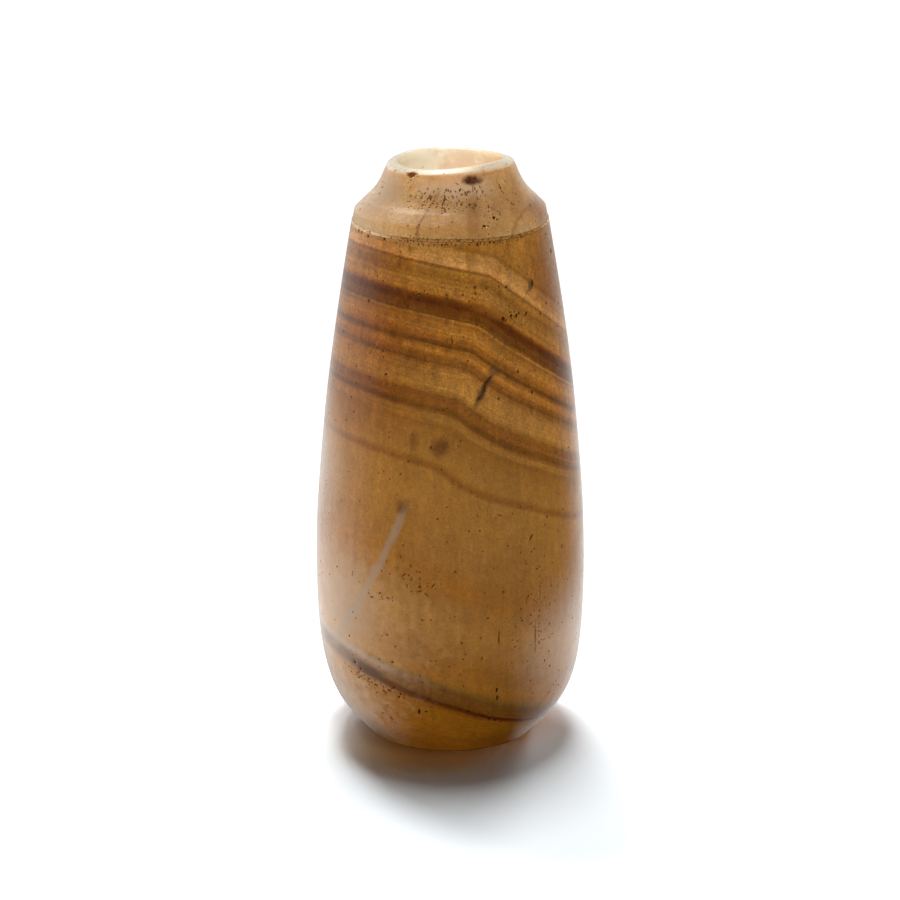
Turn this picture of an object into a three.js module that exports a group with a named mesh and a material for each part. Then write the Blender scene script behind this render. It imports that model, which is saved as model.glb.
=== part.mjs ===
// A tall jar in banded travertine, made from two stones, each turned outside and bored inside.
// The lower stone is the body. The upper stone is the shoulder, neck and lip in one piece.
// The upper stone's spigot drops into the body's mouth, and a thin bed of plaster seals the seam.
// Millimetres, +Z up, origin at the centre of the foot.

import * as THREE from "three";

// Body, outside
const BODY_HEIGHT = 180.3;
const FOOT_RADIUS = 29.7;
const BELLY_RADIUS = 46.4;
const BELLY_HEIGHT = 58.2;
const SEAM_RADIUS = 33.2;
const SEAM_ARRIS = 0.35;

// Body, inside
const BELLY_WALL = 5.2;
const SEAT_WIDTH = 4.6;
const BORE_DEPTH = 9;
const FLOOR_THICKNESS = 12;
const FLOOR_RADIUS = 17;

// Plaster bed between the two stones
const BED_THICKNESS = 0.6;
const BED_RECESS = 0.45;
const BED_SKIRT_DEPTH = 3.2;
const FACE_GAP = 0.05;
const SKIRT_GAP = 0.2;

// Shoulder, neck and lip
const NECK_HEIGHT = 19;
const SHOULDER_SETBACK = 0.4;
const SHOULDER_BAND = 3;
const SHOULDER_LEAN = 0.6;
const TURN_HEIGHT = 7.2;
const TURN_RADIUS = 28.7;
const THROAT_HEIGHT = 16.1;
const THROAT_RADIUS = 22.3;
const LIP_RADIUS = 21.3;
const LIP_ROUND = 0.9;
const LIP_WALL = 3.9;
const SPIGOT_CLEARANCE = 1.2;
const SPIGOT_WALL = 3.4;
const SPIGOT_DEPTH = 6;
const UNDERCUT_HEIGHT = 4.2;

// Where each curve's handles lie, as shares of the stretch that the curve spans: [radius, height].
const HEEL_LEAVING_SHARES = [0.57, 0.2];
const HEEL_ARRIVING_SHARES = [1, 0.213];
const FLANK_LEAVING_SHARES = [0, 0.164];
const FLANK_ARRIVING_SHARES = [0.168, 0.5];
const FLOOR_LEAVING_SHARES = [0.05, 0.82];
const FLOOR_ARRIVING_SHARES = [0.7, 1];
const ROUND_LEAVING_SHARES = [0.24, 0.35];
const ROUND_ARRIVING_SHARES = [0.58, 0.62];
const SWEEP_LEAVING_SHARES = [0.4, 0.23];
const SWEEP_ARRIVING_SHARES = [0.775, 0.545];
const UNDERCUT_LEAVING_SHARES = [0.02, 0.35];
const UNDERCUT_ARRIVING_SHARES = [0.8, 0.6];

// How finely the forms are divided
const TURNED_SIDES = 72;
const LONG_STEPS = 10;
const SHORT_STEPS = 6;
const LIP_STEPS = 4;
const EDGE_STEPS = 2;

// Sizes that follow from the ones above
const MOUTH_BORE_RADIUS = SEAM_RADIUS - SEAT_WIDTH;
const SPIGOT_RADIUS = MOUTH_BORE_RADIUS - SPIGOT_CLEARANCE;
const SPIGOT_BORE_RADIUS = SPIGOT_RADIUS - SPIGOT_WALL;
const LIP_BORE_RADIUS = LIP_RADIUS - LIP_WALL;
const NECK_FOOT_RADIUS = SEAM_RADIUS - SHOULDER_SETBACK;
const BED_HEIGHT = BODY_HEIGHT + FACE_GAP;
const NECK_SEAT_HEIGHT = BED_HEIGHT + BED_THICKNESS + FACE_GAP;

// An outline is drawn in a half plane: x is the radius and y is the height.
const at = (radius, height) => new THREE.Vector2(radius, height);

// The points of a smooth curve between two points, without the first, which ends the stretch before it.
function curve(start, leavingShares, arrivingShares, end, steps) {
  const span = end.clone().sub(start);
  const handle = ([radiusShare, heightShare]) =>
    at(start.x + span.x * radiusShare, start.y + span.y * heightShare);
  const path = new THREE.CubicBezierCurve(start, handle(leavingShares), handle(arrivingShares), end);
  return path.getPoints(steps).slice(1);
}

// The points of a rounded edge, without the first: the curve turns at the corner where the two faces would meet.
function roundedEdge(start, corner, end, steps) {
  return new THREE.QuadraticBezierCurve(start, corner, end).getPoints(steps).slice(1);
}

// One turned piece: its outline spun about the upright axis.
function turn(name, outline, material) {
  const geometry = new THREE.LatheGeometry(outline, TURNED_SIDES);
  geometry.rotateX(Math.PI / 2);
  const mesh = new THREE.Mesh(geometry, material);
  mesh.name = name;
  return mesh;
}

// Flat foot, full belly low down, long flank drawn in to the seam, and a bored cavity that follows the outside.
function bodyOutline() {
  const foot = at(FOOT_RADIUS, 0);
  const belly = at(BELLY_RADIUS, BELLY_HEIGHT);
  const rim = at(SEAM_RADIUS, BODY_HEIGHT - SEAM_ARRIS);
  const seatEdge = at(SEAM_RADIUS - SEAM_ARRIS, BODY_HEIGHT);
  const mouth = at(MOUTH_BORE_RADIUS, BODY_HEIGHT);
  const boreEnd = at(MOUTH_BORE_RADIUS, BODY_HEIGHT - BORE_DEPTH);
  const innerBelly = at(BELLY_RADIUS - BELLY_WALL, BELLY_HEIGHT);
  const floorEdge = at(FLOOR_RADIUS, FLOOR_THICKNESS);
  const flankIn = ([radiusShare, heightShare]) => [1 - radiusShare, 1 - heightShare];
  return [
    at(0, 0),
    foot,
    ...curve(foot, HEEL_LEAVING_SHARES, HEEL_ARRIVING_SHARES, belly, LONG_STEPS),
    ...curve(belly, FLANK_LEAVING_SHARES, FLANK_ARRIVING_SHARES, rim, LONG_STEPS),
    ...roundedEdge(rim, at(SEAM_RADIUS, BODY_HEIGHT), seatEdge, EDGE_STEPS),
    mouth,
    boreEnd,
    ...curve(boreEnd, flankIn(FLANK_ARRIVING_SHARES), flankIn(FLANK_LEAVING_SHARES), innerBelly, SHORT_STEPS),
    ...curve(innerBelly, FLOOR_LEAVING_SHARES, FLOOR_ARRIVING_SHARES, floorEdge, LONG_STEPS),
    at(0, FLOOR_THICKNESS),
  ];
}

// A flat ring that lies on the body's seat, with a skirt that hangs between the spigot and the bore.
function bedOutline() {
  const inner = SPIGOT_RADIUS + SKIRT_GAP;
  const skirtOuter = MOUTH_BORE_RADIUS - SKIRT_GAP;
  const outer = SEAM_RADIUS - BED_RECESS;
  return [
    at(inner, -BED_SKIRT_DEPTH),
    at(skirtOuter, -BED_SKIRT_DEPTH),
    at(skirtOuter, 0),
    at(outer, 0),
    at(outer, BED_THICKNESS),
    at(inner, BED_THICKNESS),
    at(inner, -BED_SKIRT_DEPTH),
  ];
}

// Upright shoulder band, round turn, hollow sweep up to the throat, rounded lip, undercut bore and spigot.
function neckOutline() {
  const bandTop = at(NECK_FOOT_RADIUS - SHOULDER_LEAN, SHOULDER_BAND);
  const turnEnd = at(TURN_RADIUS, TURN_HEIGHT);
  const throat = at(THROAT_RADIUS, THROAT_HEIGHT);
  const lipOuter = at(LIP_RADIUS, NECK_HEIGHT - LIP_ROUND);
  const lipTopOuter = at(LIP_RADIUS - LIP_ROUND, NECK_HEIGHT);
  const lipTopInner = at(LIP_BORE_RADIUS + LIP_ROUND, NECK_HEIGHT);
  const lipInner = at(LIP_BORE_RADIUS, NECK_HEIGHT - LIP_ROUND);
  const undercut = at(SPIGOT_BORE_RADIUS, UNDERCUT_HEIGHT);
  return [
    at(SPIGOT_BORE_RADIUS, -SPIGOT_DEPTH),
    at(SPIGOT_RADIUS, -SPIGOT_DEPTH),
    at(SPIGOT_RADIUS, 0),
    at(NECK_FOOT_RADIUS, 0),
    bandTop,
    ...curve(bandTop, ROUND_LEAVING_SHARES, ROUND_ARRIVING_SHARES, turnEnd, SHORT_STEPS),
    ...curve(turnEnd, SWEEP_LEAVING_SHARES, SWEEP_ARRIVING_SHARES, throat, SHORT_STEPS),
    lipOuter,
    ...roundedEdge(lipOuter, at(LIP_RADIUS, NECK_HEIGHT), lipTopOuter, LIP_STEPS),
    lipTopInner,
    ...roundedEdge(lipTopInner, at(LIP_BORE_RADIUS, NECK_HEIGHT), lipInner, LIP_STEPS),
    ...curve(lipInner, UNDERCUT_LEAVING_SHARES, UNDERCUT_ARRIVING_SHARES, undercut, SHORT_STEPS),
    at(SPIGOT_BORE_RADIUS, -SPIGOT_DEPTH),
  ];
}

const bandedStone = new THREE.MeshStandardMaterial({ color: 0xa9773f, roughness: 0.32, metalness: 0 });
const paleStone = new THREE.MeshStandardMaterial({ color: 0xc4a074, roughness: 0.34, metalness: 0 });
const plaster = new THREE.MeshStandardMaterial({ color: 0xc9a982, roughness: 0.85, metalness: 0 });

const body = turn("jar_body", bodyOutline(), bandedStone);

const bed = turn("plaster_bed", bedOutline(), plaster);
bed.position.z = BED_HEIGHT;

const neck = turn("neck_piece", neckOutline(), paleStone);
neck.position.z = NECK_SEAT_HEIGHT;

const jar = new THREE.Group();
jar.add(body, bed, neck);

export default jar;
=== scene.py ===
"""A tall travertine jar, turned in two stones and bedded together with plaster, on a white studio floor.

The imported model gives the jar's real sizes and places. This script carves each piece again at a finer
grain, with the unevenness of hand work, its chips and its pits, and dresses it in solid travertine: the
bedding runs through the stone, so every side, the hollow and the lip show the planes that the front shows.
Lengths are in metres and the shading works in millimetres.
"""

import logging
import math
import random
from collections.abc import Iterable, Sequence
from dataclasses import dataclass, field
from enum import Enum
from typing import ClassVar

import bmesh
import bpy
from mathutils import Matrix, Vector, kdtree, noise
from mathutils.geometry import interpolate_bezier


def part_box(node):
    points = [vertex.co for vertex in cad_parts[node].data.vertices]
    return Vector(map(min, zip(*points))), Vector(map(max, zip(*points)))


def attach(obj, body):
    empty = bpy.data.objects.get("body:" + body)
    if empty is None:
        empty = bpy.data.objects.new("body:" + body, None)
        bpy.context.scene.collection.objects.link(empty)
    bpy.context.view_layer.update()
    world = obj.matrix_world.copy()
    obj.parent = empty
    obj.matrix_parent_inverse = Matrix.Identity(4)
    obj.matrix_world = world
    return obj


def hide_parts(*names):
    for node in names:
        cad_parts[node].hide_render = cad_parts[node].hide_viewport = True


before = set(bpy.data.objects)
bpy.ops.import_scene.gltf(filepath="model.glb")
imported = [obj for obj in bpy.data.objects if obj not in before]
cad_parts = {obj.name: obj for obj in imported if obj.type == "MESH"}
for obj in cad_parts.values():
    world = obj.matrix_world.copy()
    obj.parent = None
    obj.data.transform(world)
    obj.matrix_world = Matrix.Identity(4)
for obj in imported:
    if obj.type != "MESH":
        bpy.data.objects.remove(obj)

LOG = logging.getLogger("jar")
MM = 0.001

Source = bpy.types.NodeSocket | float | tuple[float, ...]
Shares = tuple[float, float]


class Tone(Enum):
    """The colours of the stone, its marks and its plaster, and of the sheen, highlights, glow and shade
    painted on them, as hexadecimal sRGB.
    """

    AMBER = "7a4409"
    # Lighter in part as painted glow through the foot.
    FOOT_AMBER_AND_GLOW = "985c14"
    BRIGHT_AMBER = "88540c"
    PALE_CREAM = "bf8644"
    CREAM = "ad7938"
    CORN = "a57028"
    STRAW = "a06a24"
    HONEY = "986520"
    TAN = "915e1c"
    OCHRE = "905a12"
    LOAM = "6c400c"
    LODEN = "684412"
    UMBRAGE = "7e5412"
    SIENNA = "8f5910"
    TOFFEE = "885511"
    CLAY = "8a5714"
    RUSSET = "8c550e"
    FLAME = "9e6116"
    GOLD = "a66a20"
    COPPER = "8c530c"
    RUST = "804c10"
    UMBER = "76480e"
    PEAT = "6e4004"
    BARK = "6b3c04"
    BURNT = "6a3500"
    CHOCOLATE = "582a00"
    MAROON = "4e2200"
    SADDLE = "633816"
    # Partly the stone's own paler tone, partly painted sheen on the left flank.
    PALE_STONE_AND_SHEEN = "c8a070"
    # Painted sheen on the flanks and at the left foot.
    PAINTED_SHEEN = "b4a08c"
    VIOLET_VEIL = "b09a8a"
    VIOLET_BROWN = "5e4434"
    # A tea-coloured darkening; on the upper right flank it is painted shade.
    TEA_TINT_AND_SHADE = "dccbb0"
    # A grey darkening; on the neck's right edge it is painted shade.
    GREY_TINT_AND_SHADE = "b4a89c"
    ASH = "94806a"
    SLATE = "4c3722"
    SMOKE = "6a4c2c"
    # Painted sheen on the left flank, greyed.
    GREY_PAINTED_SHEEN = "82786e"
    NECK_BEIGE = "be935c"
    NECK_CREAM = "d4b694"
    NECK_DUSK = "a08260"
    NECK_BROWN = "916030"
    STAIN_BROWN = "482606"
    DIRT = "46240a"
    PIT_BROWN = "5e3408"
    # The hollow's colours: pale, partly as painted glow through the wall, and darker in patches that crowd
    # to the right as painted shade.
    RAW_STONE_AND_GLOW = "f4c090"
    RAW_DARK_PATCH_AND_SHADE = "d2965c"
    # Painted highlights on the lip's top and on the body's edge at the seam.
    LIP_HIGHLIGHT = "d6c4ae"
    ARRIS_HIGHLIGHT = "c99c68"
    # Pale plaster, which also stands as a painted highlight on its proud edge at the left.
    PALE_PLASTER_AND_HIGHLIGHT = "d0b088"
    STAINED_PLASTER = "a06e34"
    PLASTER_DIRT = "6a4010"


def linear(tone: Tone) -> tuple[float, float, float, float]:
    """Turn a tone into the linear colour that a shader takes.

    Args:
        tone: The tone, as hexadecimal sRGB.

    Returns:
        Its red, green, blue and alpha.
    """
    channels = (int(tone.value[place : place + 2], 16) / 255 for place in (0, 2, 4))
    red, green, blue = (c / 12.92 if c <= 0.04045 else ((c + 0.055) / 1.055) ** 2.4 for c in channels)
    return red, green, blue, 1.0


def smooth_step(low: float, high: float, value: float) -> float:
    """Rise smoothly from 0 at low to 1 at high.

    Args:
        low: Where the rise starts.
        high: Where it ends.
        value: The value that is tested.

    Returns:
        A share from 0 to 1.
    """
    share = min(max((value - low) / (high - low), 0.0), 1.0)
    return share * share * (3 - 2 * share)


@dataclass(frozen=True)
class HandWork:
    """How far the jar departs from a true turning.

    One warp bends every piece, so that the two stones and their plaster still meet along the seam.

    Attributes:
        heel_drift: How far the heel leans to the right.
        heel_height: Where it leans most.
        heel_reach: How far up and down the lean fades.
        seam_slope: How steeply the seam rises to the right.
        seam_sag: How far the seam dips in front on the right.
        lip_slope: How steeply the lip rises to the right.
        lip_saddle: How far the lip rises and dips twice round.
        lip_rise: How far it stands above the true turning.
        lip_nod: How much more it stands so in front than behind, from the middle.
        unevenness: How far the skin wanders in and out.
        uneven_size: How wide such a wander is.
        slope_start: Where the flank starts to take on the seam's slope.
        seam_height: The seam's height, where it has all of it.
        neck_height: Where the neck starts to take on the lip's slope.
        lip_height: The lip's height, where it has all of it.
    """

    heel_drift: float = 0.45 * MM
    heel_height: float = 18 * MM
    heel_reach: float = 15 * MM
    seam_slope: float = 0.0139
    seam_sag: float = 0.6 * MM
    lip_slope: float = 0.03
    lip_saddle: float = 0.55 * MM
    lip_rise: float = 0.45 * MM
    lip_nod: float = 0.25 * MM
    unevenness: float = 0.22 * MM
    uneven_size: float = 32 * MM
    slope_start: float = 145 * MM
    seam_height: float = 180 * MM
    neck_height: float = 186 * MM
    lip_height: float = 200 * MM

    def warp(self, point: Vector) -> Vector:
        """Move a point of the true turning to where the hand work left it.

        Args:
            point: A point of the true turning.

        Returns:
            The same point on the real jar.
        """
        x, y, z = point
        slope = self.seam_slope * smooth_step(self.slope_start, self.seam_height, z)
        slope += (self.lip_slope - self.seam_slope) * smooth_step(self.neck_height, self.lip_height, z)
        at_lip = smooth_step(self.neck_height, self.lip_height, z)
        reach = max(math.hypot(x, y), MM)
        twice_round = math.sin(2 * math.atan2(x, -y))
        sag = self.seam_sag * smooth_step(self.slope_start, self.seam_height, z)
        sag *= smooth_step(self.lip_height, self.neck_height, z) * max(0.0, twice_round)
        lip_lift = self.lip_saddle * twice_round + self.lip_rise - self.lip_nod * y / reach
        lift = x * slope - sag + at_lip * lip_lift
        drift = self.heel_drift * math.exp(-(((z - self.heel_height) / self.heel_reach) ** 2))
        drift *= smooth_step(0, self.heel_height / 2, z)
        wander = self.unevenness * noise.noise(point / self.uneven_size)
        return Vector((x + drift + x / reach * wander, y + y / reach * wander, z + lift))


HAND_WORK = HandWork()


class Section:
    """Half of a turned piece's section, drawn stretch by stretch as radii and heights."""

    def __init__(self, radius: float, height: float, grain: float) -> None:
        """Start the section.

        Args:
            radius: The first point's radius.
            height: The first point's height.
            grain: The distance between the points that follow, in metres.
        """
        self.points = [Vector((radius, 0, height))]
        self.inside = [False]
        self.grain = grain
        self.hollow = False

    def _add(self, points: Iterable[Vector]) -> "Section":
        """Add points, each marked as lying outside or in the hollow."""
        for point in points:
            self.points.append(point)
            self.inside.append(self.hollow)
        return self

    def enter(self, grain: float) -> "Section":
        """Mark what follows as the wall of the hollow, drawn at its own grain."""
        self.hollow = True
        self.grain = grain
        return self

    def leave(self, grain: float) -> "Section":
        """Mark what follows as outside the hollow again, drawn at its own grain."""
        self.hollow = False
        self.grain = grain
        return self

    def line(self, radius: float, height: float) -> "Section":
        """Draw a straight stretch to a radius and a height.

        Args:
            radius: The radius at its end.
            height: The height at its end.

        Returns:
            The section itself.
        """
        start = self.points[-1]
        end = Vector((radius, 0, height))
        steps = max(1, round((end - start).length / self.grain))
        return self._add(start.lerp(end, step / steps) for step in range(1, steps + 1))

    def curve(self, leaving: Shares, arriving: Shares, radius: float, height: float) -> "Section":
        """Draw a smooth stretch to a radius and a height.

        Args:
            leaving: Where the first handle lies, as shares of the stretch's radius and height.
            arriving: Where the second handle lies, as such shares.
            radius: The radius at its end.
            height: The height at its end.

        Returns:
            The section itself.
        """
        start = self.points[-1]
        end = Vector((radius, 0, height))
        span = end - start
        handles = [
            start + Vector((span.x * share[0], 0, span.z * share[1])) for share in (leaving, arriving)
        ]
        steps = max(2, round(1.08 * span.length / self.grain))
        return self._add(interpolate_bezier(start, *handles, end, steps + 1)[1:])

    def close(self) -> "Section":
        """Drop the last point of a ring, which lies on its first."""
        self.points.pop()
        self.inside.pop()
        return self

    def radius_at(self, height: float) -> float:
        """Find how far out the section reaches at a height.

        Args:
            height: The height.

        Returns:
            The largest radius there.
        """
        reach = 0.0
        for low, high in zip(self.points, self.points[1:]):
            if min(low.z, high.z) <= height <= max(low.z, high.z):
                share = 0.0 if high.z == low.z else (height - low.z) / (high.z - low.z)
                reach = max(reach, low.x + (high.x - low.x) * share, low.x if high.z == low.z else 0.0)
        return reach

    def spun(self, sides: int) -> bmesh.types.BMesh:
        """Spin the section about the upright axis into one closed body.

        Args:
            sides: How many faces go round.

        Returns:
            The body, with its inside and dirt layers.
        """
        body = bmesh.new()
        inside = body.verts.layers.float.new("inside")
        body.verts.layers.float.new("dirt")
        row = [body.verts.new(point) for point in self.points]
        for vertex, within in zip(row, self.inside):
            vertex[inside] = float(within)
        pairs = list(zip(row, row[1:]))
        if self.points[0].x > 0:
            pairs.append((row[-1], row[0]))
        edges = [body.edges.new(pair) for pair in pairs]
        bmesh.ops.spin(
            body,
            geom=row + edges,
            cent=(0, 0, 0),
            axis=(0, 0, 1),
            angle=math.tau,
            steps=sides,
            use_merge=True,
        )
        bmesh.ops.remove_doubles(body, verts=body.verts[:], dist=0.001 * MM)
        bmesh.ops.recalc_face_normals(body, faces=body.faces[:])
        return body


@dataclass(frozen=True)
class Flaw:
    """A pit, chip or crack that is cut into the stone's skin.

    Attributes:
        angle: Where it lies, in degrees from the front towards the right.
        height: How high it lies.
        width: Its size across.
        length: Its size along.
        depth: How deep it goes.
        lean: How far its length leans from upright towards the right, in degrees.
        dirt: How dark its filling is, from 0 to 1.
        radius: How far out it lies, or 0 on the outer skin.
    """

    angle: float
    height: float
    width: float
    length: float
    depth: float
    lean: float = 0.0
    dirt: float = 1.0
    radius: float = 0.0


class Chisel:
    """Cuts flaws into a turned body, whose skin it first divides more finely round each of them.

    Attributes:
        PASSES: How many times the skin is divided.
        RIM_SHARE: How far from its middle a flaw can reach, as a share of its greater size.
        PASS_SHARE: How much farther out each division reaches than the next, as such a share.
        RAGGEDNESS: How uneven a flaw's outline is.
        RAGGED_SCALE: How many bumps that outline has in a metre.
        BOWL: The power that rounds a flaw's floor.
        DIRT_RISE: How quickly the dirt comes in from a flaw's edge.
    """

    PASSES = 2
    RIM_SHARE = 0.6
    PASS_SHARE = 0.2
    RAGGEDNESS = 0.35
    RAGGED_SCALE = 1700
    BOWL = 0.75
    DIRT_RISE = 1.6

    def __init__(self, body: bmesh.types.BMesh, section: Section) -> None:
        """Take up a body.

        Args:
            body: The turned body.
            section: The section it was spun from.
        """
        self.body = body
        self.section = section

    def place(self, flaw: Flaw) -> Vector:
        """Find where a flaw lies on the true turning."""
        radius = flaw.radius or self.section.radius_at(flaw.height)
        turn = math.radians(flaw.angle)
        return Vector((radius * math.sin(turn), -radius * math.cos(turn), flaw.height))

    def refine(self, flaws: Sequence[Flaw]) -> None:
        """Divide the faces round the flaws, twice close to them."""
        for step in range(self.PASSES):
            tree = kdtree.KDTree(len(self.body.faces))
            faces = list(self.body.faces)
            for index, face in enumerate(faces):
                tree.insert(face.calc_center_median(), index)
            tree.balance()
            chosen: set[int] = set()
            for flaw in flaws:
                share = self.RIM_SHARE + self.PASS_SHARE * (self.PASSES - step)
                reach = max(flaw.width, flaw.length) * share
                chosen.update(index for _, index, _ in tree.find_range(self.place(flaw), reach))
            edges = {edge for index in chosen for edge in faces[index].edges}
            bmesh.ops.subdivide_edges(self.body, edges=list(edges), cuts=1, use_grid_fill=True)
            uneven = [face for face in self.body.faces if len(face.verts) > 4]
            bmesh.ops.triangulate(self.body, faces=uneven)

    def cut(self, flaws: Sequence[Flaw]) -> None:
        """Press each flaw into the skin along the skin's own direction.

        Args:
            flaws: The flaws, in any order.
        """
        self.refine(flaws)
        self.body.normal_update()
        self.body.verts.ensure_lookup_table()
        dirt = self.body.verts.layers.float["dirt"]
        tree = kdtree.KDTree(len(self.body.verts))
        for vertex in self.body.verts:
            tree.insert(vertex.co, vertex.index)
        tree.balance()
        moves: dict[int, Vector] = {}
        for flaw in flaws:
            centre = self.place(flaw)
            normal = self.body.verts[tree.find(centre)[1]].normal.copy()
            turn = math.radians(flaw.angle)
            across = Vector((math.cos(turn), math.sin(turn), 0))
            along = normal.cross(across)
            if along.z < 0:
                along.negate()
            lean = math.radians(flaw.lean)
            side = across * math.cos(lean) - along * math.sin(lean)
            line = across * math.sin(lean) + along * math.cos(lean)
            for _, index, _ in tree.find_range(centre, max(flaw.width, flaw.length) * self.RIM_SHARE):
                vertex = self.body.verts[index]
                offset = vertex.co - centre
                ragged = 1 + self.RAGGEDNESS * noise.noise(vertex.co * self.RAGGED_SCALE)
                sideways = 2 * offset.dot(side) / flaw.width
                lengthways = 2 * offset.dot(line) / flaw.length
                share = math.hypot(sideways, lengthways) * ragged
                if share < 1:
                    fall = (1 - share * share) ** self.BOWL
                    moves[index] = moves.get(index, Vector()) - normal * (flaw.depth * fall)
                    vertex[dirt] = max(vertex[dirt], flaw.dirt * min(1.0, self.DIRT_RISE * fall))
        for index, move in moves.items():
            self.body.verts[index].co += move


def scattered(
    seed: int,
    count: int,
    angles: tuple[float, float],
    heights: tuple[float, float],
    sizes: tuple[float, float],
    stretch: float = 1.6,
) -> list[Flaw]:
    """Scatter small pits over a patch of skin.

    Args:
        seed: What the scatter starts from.
        count: How many pits.
        angles: The patch's lowest and highest angle, in degrees from the front.
        heights: Its lowest and highest height.
        sizes: The smallest and the largest width.
        stretch: The most that a pit is longer than it is wide.

    Returns:
        The pits.
    """
    dice = random.Random(seed)
    pits = []
    for _ in range(count):
        width = dice.uniform(*sizes)
        pits.append(
            Flaw(
                angle=dice.uniform(*angles),
                height=dice.uniform(*heights),
                width=width,
                length=width * dice.uniform(1.0, stretch),
                depth=width * dice.uniform(0.25, 0.5),
                lean=dice.uniform(-40, 40),
                dirt=dice.uniform(0.55, 1.0),
            )
        )
    return pits


@dataclass
class TurnedPiece:
    """One stone or plaster ring: a section that is spun, chipped, warped and dressed.

    Attributes:
        name: The piece's name.
        node: The CAD node that it stands for.
        slot: The record's material slot. It is not used.
        sides: How many faces go round.
        SHARP_FROM: The angle between two faces from which their edge stays crisp.
    """

    name: str
    node: str
    slot: str
    sides: int

    SHARP_FROM: ClassVar[float] = math.radians(50)

    def section(self) -> Section:
        """Draw the piece's half section."""
        raise NotImplementedError

    def flaws(self) -> list[Flaw]:
        """List the piece's pits, chips and cracks."""
        return []

    def material(self) -> bpy.types.Material:
        """Make the piece's finish."""
        raise NotImplementedError

    def build(self) -> bpy.types.Object:
        """Make the piece, dress it and put it in the place of its CAD node.

        Returns:
            The finished piece.
        """
        section = self.section()
        body = section.spun(self.sides)
        flaws = self.flaws()
        if flaws:
            Chisel(body, section).cut(flaws)
        for vertex in body.verts:
            vertex.co = HAND_WORK.warp(vertex.co)
        for face in body.faces:
            face.smooth = True
        mesh = bpy.data.meshes.new(self.name)
        body.to_mesh(mesh)
        body.free()
        mesh.set_sharp_from_angle(angle=self.SHARP_FROM)
        mesh.materials.append(self.material())
        piece = bpy.data.objects.new(self.name, mesh)
        bpy.context.scene.collection.objects.link(piece)
        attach(piece, "root")
        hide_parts(self.node)
        LOG.info("%s: %d vertices, %d faces", self.name, len(mesh.vertices), len(mesh.polygons))
        return piece


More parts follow.
